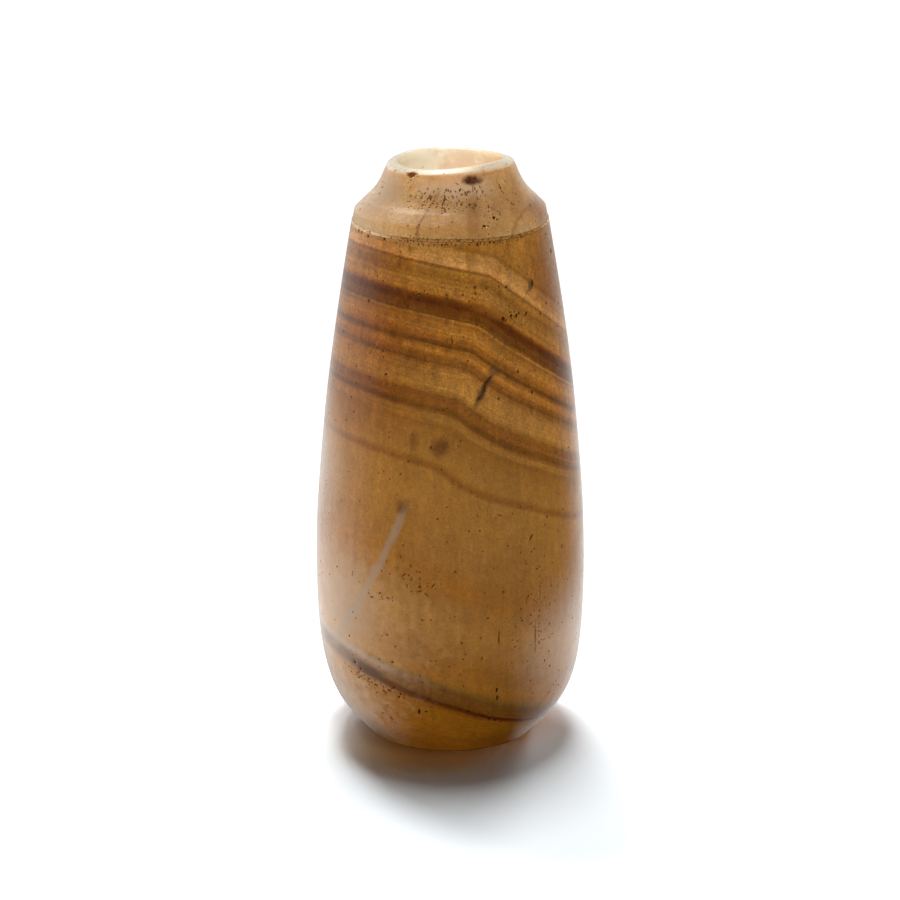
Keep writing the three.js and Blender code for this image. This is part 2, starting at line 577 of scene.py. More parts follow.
class Bench:
    """A material's or a world's node tree, with short calls for the nodes that the finishes are made of."""

    def __init__(self, owner: bpy.types.Material | bpy.types.World) -> None:
        """Start with an empty tree.

        Args:
            owner: The material or world that the nodes are for.
        """
        owner.use_nodes = True
        self.tree = owner.node_tree
        self.tree.nodes.clear()

    def node(self, kind: str, **settings: object) -> bpy.types.Node:
        """Add a node and set its options."""
        made = self.tree.nodes.new(kind)
        for key, value in settings.items():
            setattr(made, key, value)
        return made

    def feed(self, socket: bpy.types.NodeSocket, value: Source) -> None:
        """Link a socket to another, or set its own value."""
        if isinstance(value, bpy.types.NodeSocket):
            self.tree.links.new(value, socket)
        else:
            socket.default_value = value

    def math(self, operation: str, *values: Source, clamp: bool = False) -> bpy.types.NodeSocket:
        """Work out one sum.

        Args:
            operation: The Math node's operation.
            values: Its inputs, in order.
            clamp: Whether the result is kept from 0 to 1.

        Returns:
            The result.
        """
        made = self.node("ShaderNodeMath", operation=operation, use_clamp=clamp)
        for socket, value in zip(made.inputs, values):
            self.feed(socket, value)
        return made.outputs[0]

    def vector(self, operation: str, *values: Source) -> bpy.types.NodeSocket:
        """Work out one vector sum and return the vector, or the number where it gives one."""
        made = self.node("ShaderNodeVectorMath", operation=operation)
        if operation == "SCALE":
            self.feed(made.inputs[0], values[0])
            self.feed(made.inputs["Scale"], values[1])
        else:
            for socket, value in zip(made.inputs, values):
                self.feed(socket, value)
        return made.outputs["Value" if operation in {"DOT_PRODUCT", "LENGTH"} else "Vector"]

    def combine(self, x: Source, y: Source, z: Source) -> bpy.types.NodeSocket:
        """Join three numbers into a vector."""
        made = self.node("ShaderNodeCombineXYZ")
        for socket, value in zip(made.inputs, (x, y, z)):
            self.feed(socket, value)
        return made.outputs[0]

    def separate(self, vector: Source) -> tuple[bpy.types.NodeSocket, ...]:
        """Split a vector into its three numbers."""
        made = self.node("ShaderNodeSeparateXYZ")
        self.feed(made.inputs[0], vector)
        return tuple(made.outputs)

    def millimetres(self) -> bpy.types.NodeSocket:
        """Give the place in the stone, in millimetres."""
        return self.vector("SCALE", self.node("ShaderNodeTexCoord").outputs["Object"], 1 / MM)

    def attribute(self, name: str) -> bpy.types.NodeSocket:
        """Read a number that the mesh carries at each vertex."""
        return self.node("ShaderNodeAttribute", attribute_name=name).outputs["Fac"]

    def noise(
        self, vector: Source, scale: float, detail: float = 2.0, rough: float = 0.5
    ) -> bpy.types.NodeSocket:
        """Give smooth noise from 0 to 1 at a place.

        Args:
            vector: The place.
            scale: How many features there are in a unit.
            detail: How many finer layers it has.
            rough: How strong they are.

        Returns:
            The noise.
        """
        made = self.node("ShaderNodeTexNoise")
        self.feed(made.inputs["Vector"], vector)
        made.inputs["Scale"].default_value = scale
        made.inputs["Detail"].default_value = detail
        made.inputs["Roughness"].default_value = rough
        return made.outputs["Fac"]

    def swirl(self, vector: Source, scale: float) -> bpy.types.NodeSocket:
        """Give smooth noise as a vector, for shifting a place."""
        made = self.node("ShaderNodeTexNoise")
        self.feed(made.inputs["Vector"], vector)
        made.inputs["Scale"].default_value = scale
        return made.outputs["Color"]

    def cells(self, vector: Source, scale: float) -> tuple[bpy.types.NodeSocket, bpy.types.NodeSocket]:
        """Give the distance to the nearest cell's point, and that cell's own random number."""
        made = self.node("ShaderNodeTexVoronoi")
        self.feed(made.inputs["Vector"], vector)
        made.inputs["Scale"].default_value = scale
        return made.outputs["Distance"], self.separate(made.outputs["Color"])[0]

    def rise(
        self, value: Source, low: Source, high: Source, start: Source = 0.0, end: Source = 1.0
    ) -> bpy.types.NodeSocket:
        """Rise smoothly from start, where the value is low, to end, where it is high.

        Args:
            value: The value that is followed.
            low: Where the rise starts.
            high: Where it ends.
            start: The result before it.
            end: The result after it.

        Returns:
            The result.
        """
        made = self.node("ShaderNodeMapRange", interpolation_type="SMOOTHSTEP")
        for name, fed in zip(
            ("Value", "From Min", "From Max", "To Min", "To Max"), (value, low, high, start, end)
        ):
            self.feed(made.inputs[name], fed)
        return made.outputs["Result"]

    def window(self, value: Source, low: float, high: float, soft: float) -> bpy.types.NodeSocket:
        """Give 1 between low and high, falling to 0 over a soft edge on either side."""
        coming_in = self.rise(value, low - soft, low)
        going_out = self.rise(value, high, high + soft, 1, 0)
        return self.math("MULTIPLY", coming_in, going_out)

    def mix(self, share: Source, first: Source, second: Source, blend: str = "MIX") -> bpy.types.NodeSocket:
        """Mix two colours.

        Args:
            share: How much of the second is in the mix.
            first: The first colour.
            second: The second colour.
            blend: How the second is laid on the first.

        Returns:
            The mixed colour.
        """
        made = self.node("ShaderNodeMix", data_type="RGBA", blend_type=blend)
        self.feed(made.inputs[0], share)
        self.feed(made.inputs[6], first)
        self.feed(made.inputs[7], second)
        return made.outputs[2]

    def ramp(self, value: Source, stops: Sequence[tuple[float, Tone]]) -> bpy.types.NodeSocket:
        """Colour a number from 0 to 1 by its stops.

        Args:
            value: The number.
            stops: The places and tones, in rising order.

        Returns:
            The colour.
        """
        made = self.node("ShaderNodeValToRGB")
        elements = made.color_ramp.elements
        elements.remove(elements[1])
        elements[0].position = stops[0][0]
        elements[0].color = linear(stops[0][1])
        for place, tone in stops[1:]:
            elements.new(place).color = linear(tone)
        self.feed(made.inputs[0], value)
        return made.outputs[0]

    def surface(self, shader: bpy.types.NodeSocket) -> None:
        """Give the finished shader to the surface."""
        output = self.node("ShaderNodeOutputMaterial")
        self.feed(output.inputs["Surface"], shader)

    def lighten(self, colour: Source, *factors: Source) -> bpy.types.NodeSocket:
        """Multiply a colour's brightness by each factor."""
        for factor in factors:
            colour = self.vector("SCALE", colour, factor)
        return colour


@dataclass(frozen=True)
class Bedding:
    """The planes of the stone, which tilt to the right and are bent by a fold that dies out downwards.

    Lengths are in millimetres. A depth is the height at which a plane crosses the jar's axis.

    Attributes:
        fold_tilt: How the planes fall along X and Y above, before the fold's hinge.
        plain_tilt: How they fall along X and Y at the foot, where there is no fold.
        hinge: The direction across the fold's hinge.
        hinge_offset: Where the hinge lies along that direction.
        kink: How much more steeply they fall past the hinge.
        roundness: How far the hinge is rounded.
        sag: How far the planes sag past the hinge low down.
        wedge: How steeply the lowest dark band drops to the right, on its left and on its right.
        fold_low: The height at which the fold has died out.
        fold_high: The height at which it is whole.
        wander: How far the planes waver.
        sag_start: How far past the hinge the sag comes in.
        sag_end: How far past the hinge it goes out again.
        sag_bottom: The heights between which it comes in.
        sag_top: The heights between which it goes out again.
        wedge_bottom: The depths between which the lowest dark band's drop comes in.
        wedge_top: The depths between which it goes out again.
        wedge_side: The places along X between which its left gives way to its right.
        ragged_depths: The depths between which the planes get more ragged, downwards.
        raggedness: How ragged they are above and below.
        smooth_side: The places along X between which they get smoother.
        smooth_share: How much of their raggedness is left there.
    """

    fold_tilt: tuple[float, float] = (0.2017, 0.1388)
    plain_tilt: tuple[float, float] = (0.2894, 0.0025)
    hinge: tuple[float, float, float] = (0.849, 0.452, -0.2735)
    hinge_offset: float = -50.16
    kink: float = 0.44
    roundness: float = 2.0
    sag: float = 2.7
    wedge: Shares = (0.045, 0.11)
    fold_low: float = 3.4
    fold_high: float = 170.0
    wander: float = 1.0
    sag_start: Shares = (-5, 5)
    sag_end: Shares = (9, 36)
    sag_bottom: Shares = (40, 90)
    sag_top: Shares = (85, 175)
    wedge_bottom: Shares = (16.5, 20.5)
    wedge_top: Shares = (27, 34)
    wedge_side: Shares = (-10, 10)
    ragged_depths: Shares = (28, 18)
    raggedness: Shares = (0.7, 2.6)
    smooth_side: Shares = (-14, 2)
    smooth_share: float = 0.35

    def depth(self, bench: Bench, place: Source) -> bpy.types.NodeSocket:
        """Work out which plane a place in the stone lies on.

        Args:
            bench: The material's bench.
            place: The place, in millimetres.

        Returns:
            The plane's depth, in millimetres.
        """
        across = bench.vector("DOT_PRODUCT", place, self.hinge)
        past_hinge = bench.math("SUBTRACT", across, self.hinge_offset)
        bent = bench.math("MULTIPLY", bench.math("SMOOTH_MAX", past_hinge, 0.0, self.roundness), self.kink)
        fold = bench.math("ADD", bench.vector("DOT_PRODUCT", place, (*self.fold_tilt, 0)), bent)
        plain = bench.vector("DOT_PRODUCT", place, (*self.plain_tilt, 0))
        along, _, height = bench.separate(place)
        folded = bench.rise(height, self.fold_low, self.fold_high)
        tilt = bench.math("MULTIPLY_ADD", bench.math("SUBTRACT", fold, plain), folded, plain)
        waver = bench.math("SUBTRACT", bench.noise(place, 0.045, 3), 0.5)
        level = bench.math("MULTIPLY_ADD", waver, self.wander, bench.math("ADD", height, tilt))
        sagging = bench.rise(past_hinge, *self.sag_start)
        sagging = bench.math("MULTIPLY", sagging, bench.rise(past_hinge, *self.sag_end, 1, 0))
        sagging = bench.math("MULTIPLY", sagging, bench.rise(height, *self.sag_bottom))
        level = bench.math("MULTIPLY_ADD", sagging, bench.rise(height, *self.sag_top, self.sag, 0), level)
        low_band = bench.rise(level, *self.wedge_bottom)
        low_band = bench.math("MULTIPLY", low_band, bench.rise(level, *self.wedge_top, 1, 0))
        drop = bench.math("MULTIPLY", along, bench.rise(along, *self.wedge_side, *self.wedge))
        level = bench.math("MULTIPLY_ADD", drop, low_band, level)
        edge = bench.math("SUBTRACT", bench.noise(place, 0.4, 4, 0.65), 0.5)
        ragged = bench.rise(level, *self.ragged_depths, *self.raggedness)
        ragged = bench.math("MULTIPLY", ragged, bench.rise(along, *self.smooth_side, 1, self.smooth_share))
        return bench.math("MULTIPLY_ADD", edge, ragged, level)


@dataclass(frozen=True)
class Vein:
    """A healed crack that runs through the stone as a wavering plane. Lengths are in millimetres.

    Attributes:
        across: The direction across the plane.
        offset: Where the plane lies along that direction.
        heights: The lowest and the highest place that it reaches.
        width: How wide the vein is.
        tone: Its colour.
        strength: How much of the colour shows.
        facing: The direction of the side of the jar that it reaches.
        patchy: How much of the vein is left out in patches.
        blend: How it is laid on the stone's colour.
        WAVER: How far it wavers.
        CORE: The share of its width that has its full colour.
        END_FADE: How far it fades at each end.
        SIDE_FADE: How far along its facing direction it comes in.
    """

    across: tuple[float, float, float]
    offset: float
    heights: tuple[float, float]
    width: float
    tone: Tone
    strength: float
    facing: tuple[float, float, float] = (0, -1, 0)
    patchy: float = 0.0
    blend: str = "MIX"

    WAVER = 3.6
    CORE = 0.2
    END_FADE = 7
    SIDE_FADE = (0, 12)

    def mask(self, bench: Bench, place: Source) -> bpy.types.NodeSocket:
        """Give the vein's share of the colour at a place."""
        waver = bench.math("SUBTRACT", bench.noise(place, 0.07, 4, 0.6), 0.5)
        waver = bench.math("MULTIPLY", waver, self.WAVER)
        off = bench.math("SUBTRACT", bench.vector("DOT_PRODUCT", place, self.across), self.offset)
        near = bench.math("ABSOLUTE", bench.math("ADD", off, waver))
        share = bench.rise(near, self.width * self.CORE, self.width, self.strength, 0)
        reach = bench.window(bench.separate(place)[2], *self.heights, self.END_FADE)
        near_side = bench.rise(bench.vector("DOT_PRODUCT", place, self.facing), *self.SIDE_FADE)
        share = bench.math("MULTIPLY", share, bench.math("MULTIPLY", reach, near_side))
        if self.patchy:
            patches = bench.rise(bench.noise(place, 0.16, 2), 0.5 - 0.2 * self.patchy, 0.62)
            share = bench.math("MULTIPLY", share, patches)
        return share


@dataclass(frozen=True)
class Patch:
    """A rounded part of the stone. Lengths are in millimetres.

    Attributes:
        centre: Its middle; with a fall, its height is the one that its plane has at the jar's axis.
        reach: How far it goes along X, Y and Z.
        fall: How steeply it falls to the right, as the bedding does.
    """

    centre: tuple[float, float, float]
    reach: tuple[float, float, float]
    fall: float = field(default=0.0, kw_only=True)

    def distance(self, bench: Bench, place: Source) -> bpy.types.NodeSocket:
        """Give how far a place is from the middle, where 1 is the patch's edge."""
        if self.fall:
            fallen = bench.math("MULTIPLY", bench.separate(place)[0], self.fall)
            place = bench.vector("ADD", place, bench.combine(0, 0, fallen))
        offset = bench.vector("DIVIDE", bench.vector("SUBTRACT", place, self.centre), self.reach)
        return bench.vector("LENGTH", offset)


@dataclass(frozen=True)
class StainAndPaintedLight(Patch):
    """A soft patch of another colour: a stain of the stone, or painted sheen or shade where it stands in
    for light.

    Attributes:
        tone: Its colour.
        strength: How much of the colour shows.
        soft: The share of its reach over which it fades.
        ragged: How uneven its edge is.
        blend: How it is laid on the stone's colour.
    """

    tone: Tone
    strength: float
    soft: float = 0.6
    ragged: float = 0.35
    blend: str = "MIX"

    def mask(self, bench: Bench, place: Source) -> bpy.types.NodeSocket:
        """Give the patch's share of the colour at a place."""
        edge = bench.math("SUBTRACT", bench.noise(place, 0.35, 3, 0.6), 0.5)
        share = bench.math("MULTIPLY_ADD", edge, 2 * self.ragged, self.distance(bench, place))
        return bench.rise(share, 1 - self.soft, 1, self.strength, 0)


@dataclass(frozen=True)
class PitField(Patch):
    """A patch of skin where fine pits crowd together.

    Attributes:
        crowding: The share of the stone's cells that hold a pit at its middle.
    """

    crowding: float

    def crowd(self, bench: Bench, place: Source) -> bpy.types.NodeSocket:
        """Give the share of cells with a pit at a place."""
        return bench.rise(self.distance(bench, place), 0.35, 1, self.crowding, 0)


@dataclass(frozen=True)
class PaintedEdgeHighlight:
    """A highlight painted along an edge, pale above a sloping height. Lengths are in millimetres.

    Attributes:
        height: The height on the jar's axis above which the edge is pale.
        fade: How far below that the paleness fades.
        slope: How steeply the edge rises along X and Y.
        tone: Its colour.
        strength: How much of the colour shows.
        blend: How it is laid on the stone's colour.
    """

    height: float
    fade: float
    slope: tuple[float, float]
    tone: Tone
    strength: float
    blend: str = "MIX"

    def mask(self, bench: Bench, place: Source) -> bpy.types.NodeSocket:
        """Give the painted highlight's share of the colour at a place."""
        level = bench.vector("DOT_PRODUCT", place, (-self.slope[0], -self.slope[1], 1))
        above = bench.rise(level, self.height - self.fade, self.height)
        uneven = bench.rise(bench.noise(place, 0.5, 3), 0.3, 0.5, 0.5 * self.strength, self.strength)
        return bench.math("MULTIPLY", above, uneven)


@dataclass(frozen=True)
class Travertine:
    """Solid, bedded, slightly translucent travertine with a worn polish. Lengths are in millimetres.

    Attributes:
        name: The material's name.
        bands: The bedding's colours: the depth of each stop, and its tone.
        laminae: Windows of depth where fine layers show: low, high and strength.
        veins: The healed cracks.
        stains_and_painted_light: The patches of another colour: marks of the stone, and painted sheen and
            shade.
        pit_fields: The patches of crowded pits.
        loose_pits: The share of the cells with a pit elsewhere.
        raw_share: How much the unpolished hollow takes its pale colour, which is partly painted glow.
        pit_tone: The colour of what fills the pits.
        mottling: The depths between which its clouds strengthen, and how many times stronger they get.
        edge_highlight: The painted highlight along the edge at its top.
        glow: How much light goes through the stone.
        glow_reach: How far it goes, in metres.
        glow_rise: The heights between which the glow comes in, where a seam below swallows the light.
        bedding: How its planes lie.
        TOP: The depth at which the ramps end.
        RAMP_STOPS: How many stops one ramp holds.
        LAYER_STRETCH: How much of X and Y counts for the fine layers, next to the depth.
        LAYER_STRENGTH: How strong they are outside the windows.
        LAYER_CONTRAST: How much a strength changes the brightness.
        LAYER_FADE: How far a window fades.
        CRYSTAL_STRETCH: How much of X, Y and Z counts for the upright crystals.
        CRYSTALS: Their noise: scale, detail and amount.
        MOTTLES: The clouds of the stone, from fine to coarse, in the same way.
        CLOUDS: How much the broadest clouds change the brightness.
        PIT_SIZES: The cells that hold a fine pit: their scale, and the pit's radius as a share.
        PIT_SPREAD: How much smaller the pits get that only crowded places have.
        PIT_LEAST: The least such share.
        PIT_STEEPNESS: How steeply a pit deepens.
        PIT_DIRT: How much dirt lies in a fine pit.
        RAW_SHADE_SLOPE: How fast the hollow's darker patches crowd along X towards the right, as painted
            shade.
        RAW_PATCHES: The values between which they come in.
        WEAR: How rough the stone below the polish is, at least and at most.
        RAW_ROUGHNESS: How much rougher the hollow is.
        DIRT_ROUGHNESS: How much rougher dirt is.
        SKIN_RELIEF: The height of the skin's fine grain.
        SWELL_RELIEF: The height of its soft waves.
        PIT_RELIEF: The depth of the fine pits.
        COAT: How strong the polish is.
        COAT_ROUGHNESS: How rough the polish is.
        SHEEN: How strongly the stone below it mirrors.
        GLOW_BELOW: The share of the glow that is left where the light is swallowed.
        SCATTER: How far red, green and blue light go through the skin, as shares.
        RAW_SCATTER: How far they go through the hollow's stone.
        RAW_REACH: How much farther the light goes there.
    """

    name: str
    bands: tuple[tuple[float, Tone], ...]
    laminae: tuple[tuple[float, float, float], ...] = ()
    veins: tuple[Vein, ...] = ()
    stains_and_painted_light: tuple[StainAndPaintedLight, ...] = ()
    pit_fields: tuple[PitField, ...] = ()
    loose_pits: float = 0.016
    raw_share: float = 0.6
    pit_tone: Tone = Tone.DIRT
    mottling: tuple[float, float, float] = (112.0, 132.0, 1.6)
    edge_highlight: PaintedEdgeHighlight | None = None
    glow: float = 0.2
    glow_reach: float = 5 * MM
    glow_rise: Shares | None = None
    bedding: Bedding = field(default_factory=Bedding)

    TOP = 200.0
    RAMP_STOPS = 32
    LAYER_STRETCH = 0.02
    LAYER_STRENGTH = 0.03
    LAYER_CONTRAST = 8
    LAYER_FADE = 3
    CRYSTAL_STRETCH = (0.9, 0.9, 0.12)
    CRYSTALS = (0.55, 3, 0.5)
    MOTTLES = ((1.6, 4, 1.1), (0.6, 3, 0.45), (0.25, 3, 0.3))
    CLOUDS = 0.28
    PIT_SIZES = ((1.1, 0.4), (0.5, 0.24))
    PIT_SPREAD = 0.2
    PIT_LEAST = 0.02
    PIT_STEEPNESS = 2.2
    PIT_DIRT = 0.75
    RAW_SHADE_SLOPE = 0.011
    RAW_PATCHES = (0.35, 0.65)
    WEAR = (0.27, 0.4)
    RAW_ROUGHNESS = 0.3
    DIRT_ROUGHNESS = 0.45
    SKIN_RELIEF = 0.035
    SWELL_RELIEF = 0.12
    PIT_RELIEF = 0.35
    COAT = 0.9
    COAT_ROUGHNESS = 0.22
    SHEEN = 0.5
    GLOW_BELOW = 0.2
    SCATTER = (1.0, 0.65, 0.35, 1)
    RAW_SCATTER = (1.0, 0.95, 0.9, 1)
    RAW_REACH = 2.6

    def banded(self, bench: Bench, depth: Source) -> bpy.types.NodeSocket:
        """Colour the stone by the depth of its bedding, with as many ramps as the stops need."""
        share = bench.math("DIVIDE", depth, self.TOP)
        colour: bpy.types.NodeSocket | None = None
        for start in range(0, len(self.bands), self.RAMP_STOPS - 1):
            stops = self.bands[start : start + self.RAMP_STOPS]
            if len(stops) < 2:
                break
            ramp = bench.ramp(share, [(place / self.TOP, tone) for place, tone in stops])
            if colour is None:
                colour = ramp
            else:
                above = bench.math("GREATER_THAN", depth, stops[0][0])
                colour = bench.mix(above, colour, ramp)
        return colour

    def grain(self, bench: Bench, place: Source, depth: Source) -> list[bpy.types.NodeSocket]:
        """Give the factors by which fine layers, crystals and clouds change the stone's brightness."""
        flat = [bench.math("MULTIPLY", axis, self.LAYER_STRETCH) for axis in bench.separate(place)[:2]]
        layers = bench.noise(bench.combine(*flat, depth), 1.1, 4, 0.7)
        strength: Source = self.LAYER_STRENGTH
        for low, high, amount in self.laminae:
            shown = bench.window(depth, low, high, self.LAYER_FADE)
            strength = bench.math("MULTIPLY_ADD", shown, amount, strength)
        contrast = bench.math("MULTIPLY", strength, self.LAYER_CONTRAST)
        fine = bench.math("MULTIPLY_ADD", bench.math("SUBTRACT", layers, 0.5), contrast, 1)
        upright = bench.vector("MULTIPLY", place, self.CRYSTAL_STRETCH)
        factors = [fine]
        low_mottle, high_mottle, gain = self.mottling
        mottles = [(upright, self.CRYSTALS)] + [(place, mottle) for mottle in self.MOTTLES]
        for noise_at, (scale, detail, amount) in mottles:
            value = bench.math("SUBTRACT", bench.noise(noise_at, scale, detail, 0.6), 0.5)
            amount = bench.rise(depth, low_mottle, high_mottle, amount, amount * gain)
            factors.append(bench.math("MULTIPLY_ADD", value, amount, 1))
        cloud = bench.math("SUBTRACT", bench.noise(place, 0.05, 3, 0.6), 0.5)
        factors.append(bench.math("MULTIPLY_ADD", cloud, self.CLOUDS, 1))
        return factors

    def pits(self, bench: Bench, place: Source) -> bpy.types.NodeSocket:
        """Give the fine pits, from 0 on sound skin to 1 in a pit's middle."""
        crowd: Source = self.loose_pits
        for pit_field in self.pit_fields:
            crowd = bench.math("ADD", crowd, pit_field.crowd(bench, place))
        warped = bench.vector("ADD", place, bench.vector("SCALE", bench.swirl(place, 0.9), 0.45))
        pits: Source = 0.0
        for scale, radius in self.PIT_SIZES:
            distance, lot = bench.cells(warped, scale)
            size = bench.math("MULTIPLY_ADD", lot, -self.PIT_SPREAD, radius)
            from_middle = bench.math("DIVIDE", distance, bench.math("MAXIMUM", size, self.PIT_LEAST))
            hole = bench.math("SUBTRACT", 1, from_middle)
            hole = bench.math("MULTIPLY", hole, self.PIT_STEEPNESS, clamp=True)
            there = bench.math("LESS_THAN", lot, crowd)
            pits = bench.math("MAXIMUM", pits, bench.math("MULTIPLY", hole, there))
        return pits

    def dress(self) -> bpy.types.Material:
        """Make the material.

        Returns:
            The material, which reads the mesh's inside and dirt values.
        """
        material = bpy.data.materials.new(self.name)
        bench = Bench(material)
        place = bench.millimetres()
        depth = self.bedding.depth(bench, place)
        colour = bench.lighten(self.banded(bench, depth), *self.grain(bench, place, depth))
        marks: list[StainAndPaintedLight | Vein | PaintedEdgeHighlight] = [self.edge_highlight] if self.edge_highlight else []
        for mark in (*marks, *self.stains_and_painted_light, *self.veins):
            colour = bench.mix(mark.mask(bench, place), colour, linear(mark.tone), mark.blend)
        inside = bench.attribute("inside")
        # The hollow is pale, partly as painted glow through its thin wall, and its darker patches crowd to
        # the right as painted shade.
        patches = bench.noise(place, 0.13, 4, 0.6)
        shade = bench.math("MULTIPLY_ADD", bench.separate(place)[0], self.RAW_SHADE_SLOPE, patches)
        clouds = bench.rise(shade, *self.RAW_PATCHES)
        raw = bench.mix(clouds, linear(Tone.RAW_STONE_AND_GLOW), linear(Tone.RAW_DARK_PATCH_AND_SHADE))
        colour = bench.mix(bench.math("MULTIPLY", inside, self.raw_share), colour, raw)
        pits = self.pits(bench, place)
        dirt = bench.attribute("dirt")
        filled = bench.math("MAXIMUM", bench.math("MULTIPLY", pits, self.PIT_DIRT), dirt)
        colour = bench.mix(filled, colour, linear(self.pit_tone))
        self.finish(bench, place, colour, pits, filled, inside)
        return material

    def finish(
        self, bench: Bench, place: Source, colour: Source, pits: Source, filled: Source, inside: Source
    ) -> None:
        """Give the colour its worn polish, its relief and its glow.

        Args:
            bench: The material's bench.
            place: The place, in millimetres.
            colour: The stone's colour.
            pits: The fine pits, from 0 to 1.
            filled: The share of dirt.
            inside: The share of unpolished hollow.
        """
        shader = bench.node("ShaderNodeBsdfPrincipled", subsurface_method="RANDOM_WALK")
        bench.feed(shader.inputs["Base Color"], colour)
        wear = bench.rise(bench.noise(place, 0.12, 4, 0.6), 0.3, 0.7, *self.WEAR)
        unpolished = bench.math("MULTIPLY_ADD", inside, self.RAW_ROUGHNESS, wear)
        rough = bench.math("MULTIPLY_ADD", filled, self.DIRT_ROUGHNESS, unpolished, clamp=True)
        bench.feed(shader.inputs["Roughness"], rough)
        skin = bench.math("MULTIPLY", bench.noise(place, 1.3, 5, 0.65), self.SKIN_RELIEF)
        swell = bench.math("MULTIPLY_ADD", bench.noise(place, 0.22, 2), self.SWELL_RELIEF, skin)
        relief = bench.math("MULTIPLY_ADD", pits, -self.PIT_RELIEF, swell)
        bump = bench.node("ShaderNodeBump")
        bump.inputs["Strength"].default_value = 1.0
        bump.inputs["Distance"].default_value = MM
        bench.feed(bump.inputs["Height"], relief)
        bench.feed(shader.inputs["Normal"], bump.outputs["Normal"])
        bench.feed(shader.inputs["Coat Weight"], bench.rise(filled, 0, 0.5, self.COAT, 0))
        bench.feed(shader.inputs["Specular IOR Level"], bench.rise(filled, 0, 0.5, self.SHEEN, 0))
        shader.inputs["Coat Roughness"].default_value = self.COAT_ROUGHNESS
        if self.glow_rise:
            height = bench.separate(place)[2]
            glow = bench.rise(height, *self.glow_rise, self.GLOW_BELOW * self.glow, self.glow)
            bench.feed(shader.inputs["Subsurface Weight"], glow)
        else:
            shader.inputs["Subsurface Weight"].default_value = self.glow
        radius = bench.mix(inside, self.SCATTER, self.RAW_SCATTER)
        bench.feed(shader.inputs["Subsurface Radius"], radius)
        scale = bench.rise(inside, 0, 1, self.glow_reach, self.RAW_REACH * self.glow_reach)
        bench.feed(shader.inputs["Subsurface Scale"], scale)
        bench.surface(shader.outputs["BSDF"])


@dataclass(frozen=True)
class BeddingPlaster:
    """Old gypsum plaster in the seam, with specks of dark dirt, more of them in front. Lengths are in
    millimetres.

    Attributes:
        name: The material's name.
        FRONT: The direction of the side that is stained; away from it the plaster is pale, partly as a
            painted highlight.
        FRONT_REACH: How far along that direction the stain comes in.
        FRONT_GRIME: How much more grime there is in front.
        GRIME: The values of the specks between which grime comes in.
        ROUGHNESS: How rough the plaster is, at least and at most.
        RELIEF: The height of its grain, in metres.
    """

    name: str = "bedding_plaster"

    FRONT = (0.25, -0.97, 0)
    FRONT_REACH = (12, 26)
    FRONT_GRIME = 0.06
    GRIME = (0.57, 0.66)
    ROUGHNESS = (0.75, 0.95)
    RELIEF = 0.4 * MM

    def dress(self) -> bpy.types.Material:
        """Make the material."""
        material = bpy.data.materials.new(self.name)
        bench = Bench(material)
        place = bench.millimetres()
        clouds = bench.noise(place, 0.5, 5, 0.65)
        front = bench.rise(bench.vector("DOT_PRODUCT", place, self.FRONT), *self.FRONT_REACH)
        specks = bench.noise(place, 1.1, 3, 0.6)
        grime = bench.rise(bench.math("MULTIPLY_ADD", front, self.FRONT_GRIME, specks), *self.GRIME)
        # Away from the front the plaster is pale, partly as a painted highlight along its proud edge.
        body = bench.mix(front, linear(Tone.PALE_PLASTER_AND_HIGHLIGHT), linear(Tone.STAINED_PLASTER))
        colour = bench.mix(grime, body, linear(Tone.PLASTER_DIRT))
        shader = bench.node("ShaderNodeBsdfPrincipled")
        bench.feed(shader.inputs["Base Color"], colour)
        bench.feed(shader.inputs["Roughness"], bench.rise(clouds, 0.2, 0.8, *self.ROUGHNESS))
        bump = bench.node("ShaderNodeBump")
        bump.inputs["Distance"].default_value = self.RELIEF
        bench.feed(bump.inputs["Height"], bench.noise(place, 1.6, 4, 0.6))
        bench.feed(shader.inputs["Normal"], bump.outputs["Normal"])
        bench.surface(shader.outputs["BSDF"])
        return material


